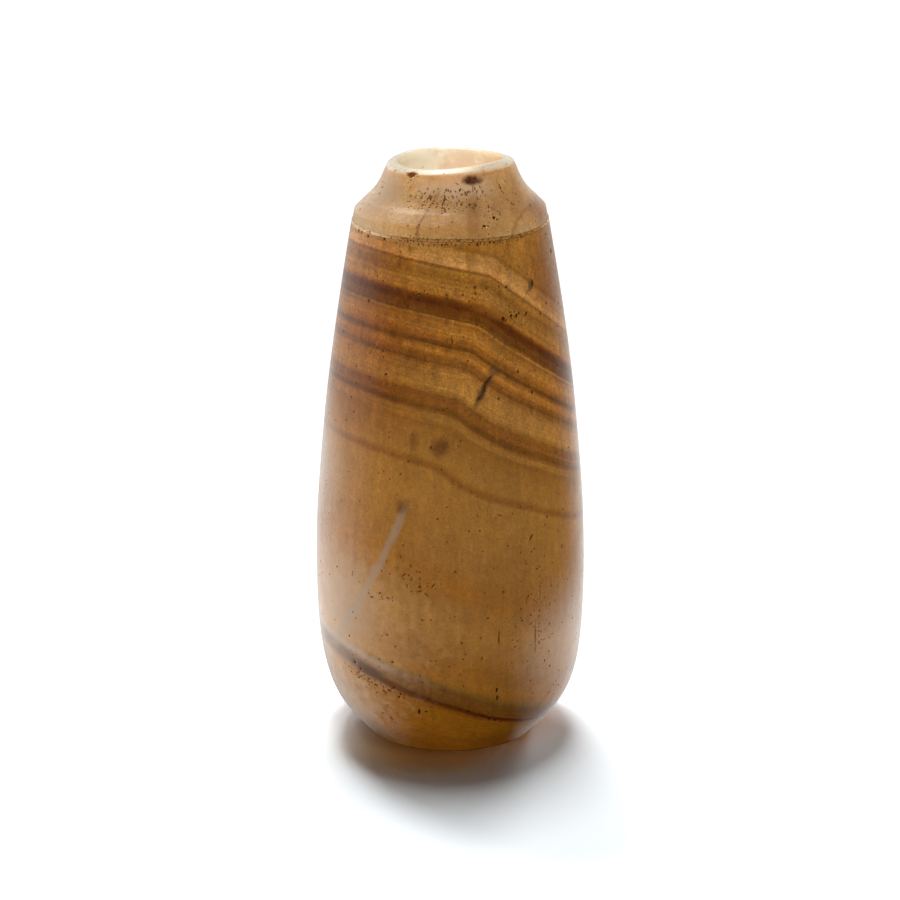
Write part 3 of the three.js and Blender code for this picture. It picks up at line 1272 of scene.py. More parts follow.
BODY_BANDS = (
    # The foot's amber is lighter in part as painted glow, for light that comes through the foot.
    (0.0, Tone.FOOT_AMBER_AND_GLOW),
    (9.0, Tone.FOOT_AMBER_AND_GLOW),
    (16.0, Tone.BRIGHT_AMBER),
    (18.4, Tone.BRIGHT_AMBER),
    (20.6, Tone.AMBER),
    (21.6, Tone.MAROON),
    (22.8, Tone.MAROON),
    (23.4, Tone.LOAM),
    (26.6, Tone.LOAM),
    (28.4, Tone.LODEN),
    (30.2, Tone.UMBRAGE),
    (31.6, Tone.SIENNA),
    (38.0, Tone.TOFFEE),
    (44.0, Tone.TAN),
    (52.0, Tone.HONEY),
    (60.0, Tone.TAN),
    (63.0, Tone.SIENNA),
    (65.0, Tone.OCHRE),
    (67.0, Tone.SIENNA),
    (70.0, Tone.OCHRE),
    (73.0, Tone.TAN),
    (90.0, Tone.HONEY),
    (100.0, Tone.HONEY),
    (101.3, Tone.RUST),
    (102.8, Tone.CLAY),
    (104.0, Tone.HONEY),
    (112.0, Tone.TAN),
    (115.0, Tone.CLAY),
    (117.6, Tone.HONEY),
    (118.5, Tone.TAN),
    (119.4, Tone.UMBER),
    (120.4, Tone.PEAT),
    (121.2, Tone.UMBER),
    (122.4, Tone.COPPER),
    (123.6, Tone.RUST),
    (124.8, Tone.RUST),
    (125.4, Tone.CLAY),
    (126.2, Tone.HONEY),
    (127.3, Tone.CORN),
    (129.0, Tone.CORN),
    (133.2, Tone.STRAW),
    (134.2, Tone.TAN),
    (135.0, Tone.RUST),
    (135.9, Tone.UMBER),
    (137.2, Tone.RUSSET),
    (138.4, Tone.FLAME),
    (139.0, Tone.GOLD),
    (139.6, Tone.FLAME),
    (140.5, Tone.CLAY),
    (141.2, Tone.PEAT),
    (142.0, Tone.BARK),
    (142.6, Tone.COPPER),
    (143.4, Tone.RUSSET),
    (144.2, Tone.FLAME),
    (145.0, Tone.FLAME),
    (145.7, Tone.GOLD),
    (146.8, Tone.HONEY),
    (147.5, Tone.FLAME),
    (148.1, Tone.GOLD),
    (148.7, Tone.RUSSET),
    (149.4, Tone.RUST),
    (149.8, Tone.HONEY),
    (150.1, Tone.HONEY),
    (150.6, Tone.PEAT),
    (151.3, Tone.BARK),
    (152.2, Tone.BARK),
    (152.9, Tone.PEAT),
    (153.6, Tone.BURNT),
    (154.3, Tone.CHOCOLATE),
    (155.2, Tone.CHOCOLATE),
    (156.2, Tone.BURNT),
    (157.1, Tone.COPPER),
    (158.0, Tone.GOLD),
    (159.4, Tone.STRAW),
    (161.6, Tone.STRAW),
    (162.8, Tone.TAN),
    (164.2, Tone.CLAY),
    (165.6, Tone.HONEY),
    (166.9, Tone.STRAW),
    (167.2, Tone.RUST),
    (167.6, Tone.RUST),
    (168.0, Tone.PALE_CREAM),
    (169.8, Tone.PALE_CREAM),
    (171.2, Tone.CREAM),
    (172.6, Tone.CREAM),
    (174.0, Tone.TAN),
    (176.0, Tone.STRAW),
    (200.0, Tone.HONEY),
)

BODY_STONE = Travertine(
    name="banded_travertine",
    bands=BODY_BANDS,
    laminae=((133.0, 150.0, 0.13), (116.0, 128.0, 0.11), (150.0, 174.0, 0.1), (4.0, 28.0, 0.11)),
    veins=(
        Vein((0.8835, 0, -0.468), -52.1, (130.0, 135.0), 1.3, Tone.SLATE, 0.75),
        Vein((0.8835, 0, -0.468), -53.2, (137.0, 166.0), 0.6, Tone.SLATE, 0.4, patchy=1.0),
        Vein((0.908, 0, -0.418), -51.7, (40.0, 88.0), 1.9, Tone.ASH, 0.55),
        Vein((0.908, 0, -0.418), -51.7, (92.0, 104.0), 1.2, Tone.SMOKE, 0.35, patchy=0.3),
        Vein((0.994, 0.03, -0.106), -32.8, (146.0, 181.0), 1.2, Tone.PEAT, 0.55, patchy=0.3),
        Vein((1.0, 0, 0), -1.2, (147.0, 170.0), 1.4, Tone.BARK, 0.5, patchy=0.6),
        Vein((0.911, -0.398, -0.107), 8.8, (171.0, 182.0), 0.6, Tone.COPPER, 0.4),
    ),
    stains_and_painted_light=(
        StainAndPaintedLight((-27.0, -27.0, 142.0), (34, 36, 50), Tone.TEA_TINT_AND_SHADE, 1.0, soft=0.9, blend="MULTIPLY"),
        StainAndPaintedLight((-24.0, -24.0, 175.0), (22, 22, 12), Tone.TEA_TINT_AND_SHADE, 0.9, soft=0.9, blend="MULTIPLY"),
        # Painted shade that darkens the upper right flank.
        StainAndPaintedLight((31.0, -14.0, 164.0), (14, 20, 26), Tone.TEA_TINT_AND_SHADE, 1.0, soft=0.9, blend="MULTIPLY"),
        # Painted sheen: the pale and grey patches below stand for the polish's sheen on the left flank, the
        # left foot and low on the right; the largest is partly the stone's own paler tone.
        StainAndPaintedLight((-42.0, -24.0, 46.0), (56, 62, 42), Tone.PALE_STONE_AND_SHEEN, 0.55, soft=1.0),
        StainAndPaintedLight((-33.0, -26.0, 55.0), (19, 30, 29), Tone.GREY_PAINTED_SHEEN, 0.36, soft=0.9),
        StainAndPaintedLight((37.0, -25.0, 40.0), (26, 30, 30), Tone.PAINTED_SHEEN, 0.32, soft=0.9),
        StainAndPaintedLight((-46.0, -12.0, 100.0), (14, 32, 28), Tone.PAINTED_SHEEN, 0.45, soft=0.9),
        StainAndPaintedLight((-36.0, -18.0, 13.0), (34, 34, 23), Tone.PAINTED_SHEEN, 0.8, soft=0.9),
        StainAndPaintedLight((-34.0, -26.0, 28.2), (36, 42, 2.8), Tone.VIOLET_VEIL, 0.42, soft=0.8, ragged=0.2, fall=0.3),
        StainAndPaintedLight((-38.0, -26.0, 25.0), (30, 34, 4.2), Tone.VIOLET_BROWN, 0.62, soft=0.8, ragged=0.2, fall=0.3),
        StainAndPaintedLight((-27.0, -34.0, 23.8), (9, 13, 2.9), Tone.VIOLET_BROWN, 1.0, soft=0.7, fall=0.3),
        StainAndPaintedLight((-18.5, -37.5, 22.9), (7, 10, 2.0), Tone.SADDLE, 0.9, soft=0.6, fall=0.3),
        StainAndPaintedLight((10.2, -39.3, 130.4), (2.4, 6, 4.2), Tone.SLATE, 0.6, soft=0.8),
        StainAndPaintedLight((-4.0, -39.7, 137.6), (3.2, 8, 3.4), Tone.SMOKE, 0.3, soft=0.9),
        StainAndPaintedLight(
            (-3.2, -42.8, 113.4),
            (5.0, 8, 5.0),
            Tone.GREY_TINT_AND_SHADE,
            0.9,
            soft=0.8,
            ragged=0.3,
            blend="MULTIPLY",
        ),
        StainAndPaintedLight((-6.7, -41.3, 122.0), (3.4, 8, 3.4), Tone.SMOKE, 0.35, soft=0.9),
        StainAndPaintedLight((-12.2, -41.0, 114.8), (2.8, 8, 4.6), Tone.GREY_TINT_AND_SHADE, 0.5, soft=0.9, blend="MULTIPLY"),
        StainAndPaintedLight((-16.0, -42.0, 92.0), (3.0, 8, 4.6), Tone.GREY_TINT_AND_SHADE, 0.9, soft=0.9, blend="MULTIPLY"),
        StainAndPaintedLight((26.4, -24.5, 164.0), (1.4, 6, 2.8), Tone.SLATE, 0.7),
        StainAndPaintedLight((6.5, -33.0, 176.0), (2.4, 8, 7.0), Tone.CLAY, 0.45),
        StainAndPaintedLight((14.0, -36.5, 163.0), (12, 12, 2.8), Tone.COPPER, 0.75, soft=0.8, fall=0.44),
        StainAndPaintedLight((-27.0, -27.0, 151.8), (18, 18, 3.2), Tone.RUST, 0.4, soft=0.8, fall=0.2),
        StainAndPaintedLight((-1.7, -36.4, 158.6), (4.5, 9, 5.5), Tone.CHOCOLATE, 0.45, soft=0.9),
    ),
    pit_fields=(
        PitField((20.5, -32.0, 155.2), (6.5, 10, 3.2), 0.5),
        PitField((0.0, -34.0, 163.5), (20, 12, 4.5), 0.22),
        PitField((-12.0, -45.0, 67.5), (7, 9, 6.0), 0.2),
        PitField((-24.0, -39.5, 60.4), (6, 8, 2.2), 0.4),
        PitField((28.0, -37.0, 52.0), (14, 14, 30), 0.12),
        PitField((-25.0, -34.0, 20.2), (15, 18, 2.4), 0.75, fall=0.3),
        PitField((13.0, -40.0, 19.6), (9, 8, 2.4), 0.6, fall=0.2),
        PitField((2.0, -33.0, 179.8), (24, 12, 1.2), 0.38),
    ),
    # Painted highlight along the body's top edge at the seam.
    edge_highlight=PaintedEdgeHighlight(180.4, 1.0, (0.0139, 0), Tone.ARRIS_HIGHLIGHT, 0.5),
)

NECK_STONE = Travertine(
    name="pale_travertine",
    bands=((0.0, Tone.NECK_BEIGE), (200.0, Tone.NECK_BEIGE)),
    veins=(
        Vein((0.768, -0.638, -0.058), 0.3, (176.0, 191.0), 0.7, Tone.SADDLE, 0.45),
        Vein((0.911, -0.398, -0.107), 8.8, (176.0, 189.0), 0.6, Tone.NECK_BROWN, 0.5),
    ),
    stains_and_painted_light=(
        StainAndPaintedLight((-28.0, -14.0, 187.0), (18, 24, 12), Tone.NECK_DUSK, 0.5, soft=0.9),
        StainAndPaintedLight((-19.0, -11.0, 193.5), (10, 13, 8), Tone.NECK_DUSK, 0.7, soft=0.8),
        StainAndPaintedLight((4.0, -26.0, 191.0), (17, 10, 4.6), Tone.NECK_BROWN, 0.15, soft=0.8),
        StainAndPaintedLight((2.0, -21.0, 196.0), (19, 9, 6.5), Tone.NECK_CREAM, 0.75, soft=0.8),
        # The neck's right side is browner, partly as painted shade; the two patches at its edge below are
        # painted shade.
        StainAndPaintedLight((27.0, -18.0, 191.0), (17, 20, 12), Tone.NECK_BROWN, 0.5, soft=0.9),
        StainAndPaintedLight((33.0, -8.0, 187.0), (9, 16, 8), Tone.GREY_TINT_AND_SHADE, 0.6, soft=0.9, blend="MULTIPLY"),
        StainAndPaintedLight((33.0, -8.0, 187.0), (11, 16, 10), Tone.NECK_BROWN, 1.0, soft=0.9),
        StainAndPaintedLight((4.0, -31.0, 183.2), (34, 14, 4.4), Tone.GOLD, 0.42, soft=0.8),
        StainAndPaintedLight((7.4, -26.0, 184.0), (3.0, 12, 15), Tone.NECK_BROWN, 0.42, soft=0.45, ragged=0.15),
        StainAndPaintedLight((7.1, -21.0, 198.1), (4.4, 4.6, 2.2), Tone.STAIN_BROWN, 0.95, soft=0.6, ragged=0.45),
    ),
    pit_fields=(
        PitField((-2.0, -24.5, 192.2), (16, 8, 4.2), 0.6),
        PitField((12.0, -26.5, 188.6), (7, 7, 4.6), 0.4),
        PitField((-8.0, -30.0, 185.2), (10, 7, 1.4), 0.5),
        PitField((2.0, -32.0, 181.8), (24, 12, 1.2), 0.3),
    ),
    raw_share=1.0,
    pit_tone=Tone.PIT_BROWN,
    mottling=(0.0, 1.0, 1.1),
    # Painted highlight on the lip's top.
    edge_highlight=PaintedEdgeHighlight(199.8, 1.0, (0.045, -0.03), Tone.LIP_HIGHLIGHT, 0.9),
    glow=0.9,
    glow_reach=14 * MM,
    glow_rise=(181.0, 187.0),
)


@dataclass
class JarBody(TurnedPiece):
    """The lower stone: flat foot, full belly low down, long flank drawn in to the seam, bored hollow.

    Attributes:
        foot_radius: The foot's radius, before its edge is taken in.
        foot_round: Twice as far as that edge is taken in.
        belly_height: How high the fullest place lies.
        belly_wall: The wall's thickness there.
        seam_radius: The radius at the seam.
        seam_arris: How far the edge there is rounded.
        seat_width: How far in from the seam's radius the flat seat for the neck reaches.
        bore_depth: How deep the mouth is bored straight.
        floor_thickness: The thickness of the hollow's floor.
        floor_radius: The radius of that floor.
        skin_grain: The size of the outer faces.
        hollow_grain: The size of the inner faces.
    """

    name: str = "body_stone"
    node: str = "jar_body"
    slot: str = "banded_travertine"
    sides: int = 256
    foot_radius: float = 29.7 * MM
    foot_round: float = 0.9 * MM
    belly_height: float = 58.2 * MM
    belly_wall: float = 5.2 * MM
    seam_radius: float = 33.2 * MM
    seam_arris: float = 0.35 * MM
    seat_width: float = 4.6 * MM
    bore_depth: float = 9 * MM
    floor_thickness: float = 12 * MM
    floor_radius: float = 17 * MM
    skin_grain: float = 1.1 * MM
    hollow_grain: float = 4.0 * MM

    def section(self) -> Section:
        """Draw the body's half section, with its height and its girth taken from the CAD node."""
        _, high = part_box(self.node)
        height, belly = high.z, high.x
        drawn = Section(0, 0, self.hollow_grain)
        drawn.line(self.foot_radius - 2 * self.foot_round, 0)
        drawn.leave(self.skin_grain / 2).line(self.foot_radius - self.foot_round / 2, 0.0)
        drawn.leave(self.skin_grain).curve((0.57, 0.2), (1, 0.213), belly, self.belly_height)
        drawn.curve((0, 0.164), (0.168, 0.5), self.seam_radius, height - self.seam_arris)
        drawn.leave(self.seam_arris / 3).curve(
            (0, 0.6), (0.4, 1), self.seam_radius - self.seam_arris, height
        )
        drawn.enter(self.skin_grain).line(self.seam_radius - self.seat_width, height)
        drawn.enter(self.hollow_grain).line(self.seam_radius - self.seat_width, height - self.bore_depth)
        drawn.curve((0.832, 0.5), (1, 0.836), belly - self.belly_wall, self.belly_height)
        drawn.curve((0.05, 0.82), (0.7, 1), self.floor_radius, self.floor_thickness)
        drawn.line(0, self.floor_thickness)
        return drawn

    def flaws(self) -> list[Flaw]:
        """List the pits seen in front, the bruised seam edge and the pits of the other sides."""
        seen = [
            Flaw(27.5, 154.8 * MM, 1.3 * MM, 1.4 * MM, 0.5 * MM, 20),
            Flaw(32.2, 155.4 * MM, 1.0 * MM, 1.2 * MM, 0.4 * MM),
            Flaw(35.4, 155.1 * MM, 1.0 * MM, 1.6 * MM, 0.5 * MM, 30),
            Flaw(37.0, 155.6 * MM, 0.8 * MM, 1.0 * MM, 0.4 * MM),
            Flaw(41.8, 155.1 * MM, 0.9 * MM, 1.2 * MM, 0.4 * MM),
            Flaw(52.1, 153.8 * MM, 0.9 * MM, 1.2 * MM, 0.4 * MM),
            Flaw(48.6, 164.4 * MM, 1.0 * MM, 2.4 * MM, 0.5 * MM, 20, 0.8),
            Flaw(18.0, 135.2 * MM, 1.2 * MM, 4.2 * MM, 0.35 * MM, 45, 0.6),
            Flaw(15.9, 132.6 * MM, 1.3 * MM, 4.4 * MM, 0.35 * MM, 12, 0.6),
            Flaw(14.0, 129.8 * MM, 1.2 * MM, 4.2 * MM, 0.35 * MM, 48, 0.6),
            Flaw(-31.8, 136.0 * MM, 1.0 * MM, 1.0 * MM, 0.4 * MM),
            Flaw(-46.8, 158.8 * MM, 0.8 * MM, 0.9 * MM, 0.35 * MM),
            Flaw(13.0, 165.7 * MM, 1.0 * MM, 0.8 * MM, 0.35 * MM, 0, 0.8),
            Flaw(30.6, 165.0 * MM, 1.1 * MM, 0.9 * MM, 0.35 * MM, 0, 0.8),
            Flaw(33.7, 136.5 * MM, 0.8 * MM, 0.9 * MM, 0.35 * MM),
            Flaw(41.1, 129.0 * MM, 1.0 * MM, 1.0 * MM, 0.4 * MM),
            Flaw(0.8, 148.8 * MM, 0.5 * MM, 3.2 * MM, 0.25 * MM, 0, 0.7),
            Flaw(-21.8, 103.7 * MM, 0.6 * MM, 1.6 * MM, 0.25 * MM, 40, 0.6),
            Flaw(-26.9, 101.5 * MM, 0.7 * MM, 0.8 * MM, 0.25 * MM, 0, 0.7),
            Flaw(-1.4, 81.6 * MM, 0.7 * MM, 0.8 * MM, 0.25 * MM, 0, 0.6),
            Flaw(21.4, 89.8 * MM, 0.7 * MM, 1.6 * MM, 0.25 * MM, -60, 0.6),
            Flaw(45.5, 86.0 * MM, 0.8 * MM, 1.6 * MM, 0.3 * MM, 10, 0.7),
            Flaw(36.1, 80.4 * MM, 0.7 * MM, 2.8 * MM, 0.3 * MM, 35, 0.8),
            Flaw(54.9, 73.6 * MM, 0.7 * MM, 1.8 * MM, 0.3 * MM, 0, 0.7),
            Flaw(-16.5, 72.7 * MM, 0.6 * MM, 1.6 * MM, 0.25 * MM, -30, 0.6),
            Flaw(-19.5, 69.3 * MM, 0.6 * MM, 2.0 * MM, 0.3 * MM, 50, 0.7),
            Flaw(-18.1, 65.9 * MM, 0.6 * MM, 1.8 * MM, 0.25 * MM, -20, 0.6),
            Flaw(-12.6, 64.2 * MM, 0.6 * MM, 2.2 * MM, 0.3 * MM, 70, 0.7),
            Flaw(-9.8, 63.2 * MM, 0.6 * MM, 1.8 * MM, 0.3 * MM, -50, 0.7),
            Flaw(-7.1, 66.3 * MM, 0.6 * MM, 2.4 * MM, 0.3 * MM, 35, 0.7),
            Flaw(-34.5, 59.6 * MM, 0.7 * MM, 1.4 * MM, 0.3 * MM, 80, 0.7),
            Flaw(-30.5, 61.6 * MM, 0.7 * MM, 1.4 * MM, 0.3 * MM, 60, 0.7),
            Flaw(-26.7, 60.4 * MM, 0.7 * MM, 1.6 * MM, 0.3 * MM, -70, 0.7),
            Flaw(33.6, 59.3 * MM, 0.5 * MM, 3.4 * MM, 0.2 * MM, 15, 0.5),
            Flaw(40.5, 61.0 * MM, 0.4 * MM, 7 * MM, 0.15 * MM, 3, 0.5),
            Flaw(20.6, 47.2 * MM, 0.45 * MM, 8 * MM, 0.15 * MM, 0, 0.85),
            Flaw(38.2, 44.0 * MM, 0.45 * MM, 12 * MM, 0.15 * MM, -2, 0.8),
            Flaw(12.8, 47.5 * MM, 0.7 * MM, 0.7 * MM, 0.25 * MM, 0, 0.6),
            Flaw(13.4, 40.5 * MM, 0.8 * MM, 0.7 * MM, 0.3 * MM, 0, 0.8),
            Flaw(-25.4, 37.4 * MM, 1.1 * MM, 1.2 * MM, 0.4 * MM, 0, 0.8),
            Flaw(20.2, 27.5 * MM, 0.9 * MM, 2.0 * MM, 0.5 * MM),
            Flaw(20.6, 24.4 * MM, 0.8 * MM, 2.2 * MM, 0.45 * MM),
            Flaw(-14.9, 19.3 * MM, 1.0 * MM, 2.6 * MM, 0.6 * MM, 5),
            Flaw(-11.6, 19.6 * MM, 0.9 * MM, 0.9 * MM, 0.4 * MM),
            Flaw(-29.8, 14.3 * MM, 1.0 * MM, 0.9 * MM, 0.35 * MM),
            Flaw(7.6, 19.8 * MM, 1.0 * MM, 1.0 * MM, 0.45 * MM),
            Flaw(14.3, 17.3 * MM, 1.2 * MM, 1.0 * MM, 0.5 * MM),
            Flaw(17.9, 16.1 * MM, 1.5 * MM, 1.2 * MM, 0.6 * MM),
            Flaw(21.0, 15.0 * MM, 1.3 * MM, 1.2 * MM, 0.5 * MM),
            Flaw(24.7, 13.8 * MM, 0.9 * MM, 0.8 * MM, 0.35 * MM),
            Flaw(-45.6, 33.7 * MM, 0.9 * MM, 0.8 * MM, 0.35 * MM),
            Flaw(-42.7, 29.1 * MM, 1.0 * MM, 0.8 * MM, 0.4 * MM),
            Flaw(-38.6, 28.6 * MM, 0.9 * MM, 0.8 * MM, 0.4 * MM),
            Flaw(-35.0, 27.2 * MM, 1.1 * MM, 0.9 * MM, 0.4 * MM),
            Flaw(-28.4, 26.2 * MM, 1.1 * MM, 0.9 * MM, 0.4 * MM),
            Flaw(-23.8, 24.3 * MM, 1.0 * MM, 0.9 * MM, 0.4 * MM),
        ]
        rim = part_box(self.node)[1].z - self.seam_arris
        pitted = (0.5 * MM, 1.1 * MM)
        bruises = scattered(11, 46, (-32, 46), (rim - 0.7 * MM, rim + 0.3 * MM), (0.3 * MM, 0.55 * MM), 3)
        bruises += scattered(12, 22, (50, 320), (rim - 0.5 * MM, rim + 0.3 * MM), pitted, 1.3)
        lower_edge = scattered(13, 8, (-51, -41), (28 * MM, 33 * MM), (0.5 * MM, 0.8 * MM))
        lower_edge += scattered(17, 10, (-41, -22), (24 * MM, 28 * MM), (0.5 * MM, 0.8 * MM))
        other_sides = scattered(14, 46, (75, 285), (12 * MM, 172 * MM), (0.6 * MM, 1.5 * MM), 2.5)
        other_sides += scattered(15, 14, (120, 150), (88 * MM, 102 * MM), (0.6 * MM, 1.3 * MM), 2.5)
        foot_chips = scattered(16, 10, (75, 285), (0.3 * MM, 1.4 * MM), (1.4 * MM, 2.6 * MM))
        return seen + bruises + lower_edge + other_sides + foot_chips

    def material(self) -> bpy.types.Material:
        """Dress the body in its banded stone."""
        return BODY_STONE.dress()


@dataclass
class NeckPiece(TurnedPiece):
    """The upper stone: shoulder band, round turn, hollow sweep to the throat, lip, bore and spigot.

    Attributes:
        shoulder_band: The height of the band above the seam.
        shoulder_lean: How far the band leans in.
        turn_height: How high the round turn ends, above the seam.
        turn_radius: The radius there.
        throat_height: How high the throat lies, above the seam.
        throat_radius: The radius there.
        lip_radius: The lip's outer radius.
        lip_round: How far the lip's edges are rounded.
        lip_wall: The lip's thickness.
        lip_crown: How far its inner edge stands above its outer one.
        spigot_radius: The spigot's outer radius.
        spigot_wall: Its wall's thickness.
        spigot_depth: How far it reaches below the seam.
        undercut_height: How high the bore's undercut starts, above the seam.
        skin_grain: The size of the visible faces.
        hidden_grain: The size of the faces on the spigot.
    """

    name: str = "neck_stone"
    node: str = "neck_piece"
    slot: str = "pale_travertine"
    sides: int = 336
    shoulder_band: float = 3.8 * MM
    shoulder_lean: float = 0.75 * MM
    turn_height: float = 7.2 * MM
    turn_radius: float = 28.7 * MM
    throat_height: float = 16.1 * MM
    throat_radius: float = 22.3 * MM
    lip_radius: float = 21.3 * MM
    lip_round: float = 0.9 * MM
    lip_wall: float = 3.9 * MM
    lip_crown: float = 0.8 * MM
    spigot_radius: float = 27.4 * MM
    spigot_wall: float = 3.4 * MM
    spigot_depth: float = 6 * MM
    undercut_height: float = 4.2 * MM
    skin_grain: float = 0.55 * MM
    hidden_grain: float = 2 * MM

    def section(self) -> Section:
        """Draw the neck's half section, with its height and its girth taken from the CAD node."""
        low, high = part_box(self.node)
        seat = low.z + self.spigot_depth
        top, bore = high.z, self.spigot_radius - self.spigot_wall
        lip_bore = self.lip_radius - self.lip_wall
        drawn = Section(bore, low.z, self.hidden_grain)
        drawn.line(self.spigot_radius, low.z).line(self.spigot_radius, seat)
        drawn.leave(self.skin_grain).line(high.x, seat)
        drawn.line(high.x - self.shoulder_lean, seat + self.shoulder_band)
        drawn.curve((0.28, 0.3), (0.6, 0.6), self.turn_radius, seat + self.turn_height)
        drawn.curve((0.4, 0.23), (0.775, 0.545), self.throat_radius, seat + self.throat_height)
        drawn.line(self.lip_radius, top - self.lip_round)
        drawn.leave(self.lip_round / 4).curve((0, 0.55), (0.45, 1), self.lip_radius - self.lip_round, top)
        crown = top + self.lip_crown
        drawn.leave(self.skin_grain).curve((0.4, 0.5), (0.7, 1), lip_bore + self.lip_round, crown)
        drawn.enter(self.lip_round / 4).curve((0.55, 0), (1, 0.45), lip_bore, crown - self.lip_round)
        drawn.enter(self.skin_grain).curve((0.02, 0.35), (0.8, 0.6), bore, seat + self.undercut_height)
        drawn.enter(self.hidden_grain).line(bore, low.z)
        return drawn.close()

    def flaws(self) -> list[Flaw]:
        """List the chipped lip, the pits seen in front and the pits of the other sides."""
        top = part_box(self.node)[1].z
        lip_edge = self.lip_radius - 0.4 * MM
        seen = [
            Flaw(-37, top + 0.2 * MM, 4.8 * MM, 2.4 * MM, 0.9 * MM, 0, 0.95, lip_edge),
            Flaw(-33, top + 0.2 * MM, 1.6 * MM, 1.0 * MM, 0.4 * MM, 0, 0.4, lip_edge),
            Flaw(-43, top + 0.1 * MM, 1.4 * MM, 1.0 * MM, 0.3 * MM, 0, 0.4, lip_edge),
            Flaw(21, 197.9 * MM, 2.4 * MM, 1.2 * MM, 0.4 * MM, 90, 0.1),
            Flaw(-15.9, 193.1 * MM, 0.6 * MM, 2.4 * MM, 0.2 * MM, -15, 0.8),
            Flaw(-17.4, 192.6 * MM, 0.5 * MM, 1.6 * MM, 0.2 * MM, 20, 0.7),
            Flaw(-22.4, 192.9 * MM, 0.7 * MM, 1.4 * MM, 0.2 * MM, 10, 0.8),
            Flaw(-4.6, 192.4 * MM, 0.6 * MM, 2.8 * MM, 0.25 * MM, 10, 0.9),
            Flaw(-5.6, 191.4 * MM, 0.5 * MM, 2.0 * MM, 0.2 * MM, 25, 0.8),
            Flaw(-3.6, 189.2 * MM, 0.6 * MM, 1.4 * MM, 0.2 * MM, -10, 0.8),
            Flaw(-5.6, 188.6 * MM, 0.5 * MM, 0.9 * MM, 0.2 * MM, 30, 0.8),
            Flaw(28.6, 187.2 * MM, 1.3 * MM, 1.3 * MM, 0.4 * MM, -30, 1.0),
            Flaw(30.2, 186.6 * MM, 1.0 * MM, 0.8 * MM, 0.3 * MM, -60, 0.9),
            Flaw(20.4, 185.2 * MM, 1.4 * MM, 1.0 * MM, 0.4 * MM, 0, 1.0),
            Flaw(22.8, 185.1 * MM, 0.9 * MM, 0.7 * MM, 0.3 * MM, 0, 0.9),
            Flaw(18.9, 184.6 * MM, 0.7 * MM, 0.6 * MM, 0.2 * MM, 0, 0.8),
            Flaw(5.5, 196.6 * MM, 0.4 * MM, 1.8 * MM, 0.15 * MM, -60, 0.7),
            Flaw(9.2, 193.6 * MM, 0.7 * MM, 0.6 * MM, 0.2 * MM, 0, 0.8),
            Flaw(14.3, 190.8 * MM, 0.9 * MM, 0.9 * MM, 0.25 * MM, 0, 0.8),
            Flaw(26.4, 193.8 * MM, 0.8 * MM, 0.6 * MM, 0.25 * MM, 0, 0.8),
        ]
        fine = (0.3 * MM, 0.6 * MM)
        cluster = scattered(21, 105, (-34, 28), (189.5 * MM, 195.5 * MM), fine, 2.6)
        right = scattered(22, 14, (30, 60), (188 * MM, 195 * MM), fine)
        other_sides = scattered(23, 40, (64, 296), (183 * MM, 196 * MM), (0.4 * MM, 1.0 * MM))
        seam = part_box(self.node)[0].z + self.spigot_depth
        skirt = scattered(24, 14, (-24, 50), (seam + 0.1 * MM, seam + 0.5 * MM), (0.3 * MM, 0.5 * MM), 2)
        streaks = [
            Flaw(43.5, 194.4 * MM, 0.6 * MM, 1.6 * MM, 0.2 * MM, 0, 0.7),
            Flaw(44.6, 192.6 * MM, 0.5 * MM, 1.2 * MM, 0.2 * MM, 15, 0.7),
            Flaw(45.9, 190.9 * MM, 0.6 * MM, 1.0 * MM, 0.2 * MM, 0, 0.7),
            Flaw(-13.2, 194.6 * MM, 0.5 * MM, 1.2 * MM, 0.2 * MM, 0, 0.7),
            Flaw(-34.4, 195.7 * MM, 0.5 * MM, 0.8 * MM, 0.2 * MM, 0, 0.6),
        ]
        nicks = [
            Flaw(angle, top - 0.35 * MM, 1.8 * MM, 1.0 * MM, 0.35 * MM, 0, 0.3, lip_edge)
            for angle in (62, 118, 171, 204, 251, 300)
        ]
        return seen + streaks + cluster + right + other_sides + skirt + nicks

    def material(self) -> bpy.types.Material:
        """Dress the neck in its paler stone."""
        return NECK_STONE.dress()


@dataclass
class PlasterBed(TurnedPiece):
    """The plaster that seals the seam: a flat ring with a skirt between the spigot and the bore.

    Attributes:
        thickness: The ring's thickness.
        squeeze: How far it is squeezed out beyond the CAD node.
        lap: How far out it laps over the shoulder's foot, and a third of how far up.
        skirt_wall: The skirt's thickness.
        skirt_inner: The skirt's inner radius.
        grain: The size of its faces.
    """

    name: str = "plaster_ring"
    node: str = "plaster_bed"
    slot: str = "plaster"
    sides: int = 288
    thickness: float = 0.6 * MM
    squeeze: float = 0.35 * MM
    lap: float = 0.1 * MM
    skirt_wall: float = 0.8 * MM
    skirt_inner: float = 27.6 * MM
    grain: float = 0.6 * MM

    def section(self) -> Section:
        """Draw the bed's half section, with its height and its girth taken from the CAD node."""
        low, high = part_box(self.node)
        ledge, rim = high.z - self.thickness, high.x + self.squeeze
        outer_skirt = self.skirt_inner + self.skirt_wall
        drawn = Section(self.skirt_inner, low.z, self.grain)
        drawn.line(outer_skirt, low.z).line(outer_skirt, ledge).line(rim, ledge)
        drawn.leave(self.thickness / 4).line(rim, high.z).line(high.x + self.lap, high.z + 3 * self.lap)
        drawn.line(high.x + self.lap, high.z)
        drawn.leave(self.grain).line(self.skirt_inner, high.z).line(self.skirt_inner, low.z)
        return drawn.close()

    def flaws(self) -> list[Flaw]:
        """List the gaps where the plaster has crumbled out of the seam."""
        _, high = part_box(self.node)
        middle = high.z - self.thickness / 2
        level = (middle, middle)
        front = scattered(31, 10, (-30, 50), level, (0.5 * MM, 0.9 * MM))
        return front + scattered(32, 24, (50, 315), level, (0.6 * MM, 1.4 * MM))

    def material(self) -> bpy.types.Material:
        """Dress the bed in old plaster."""
        return BeddingPlaster().dress()


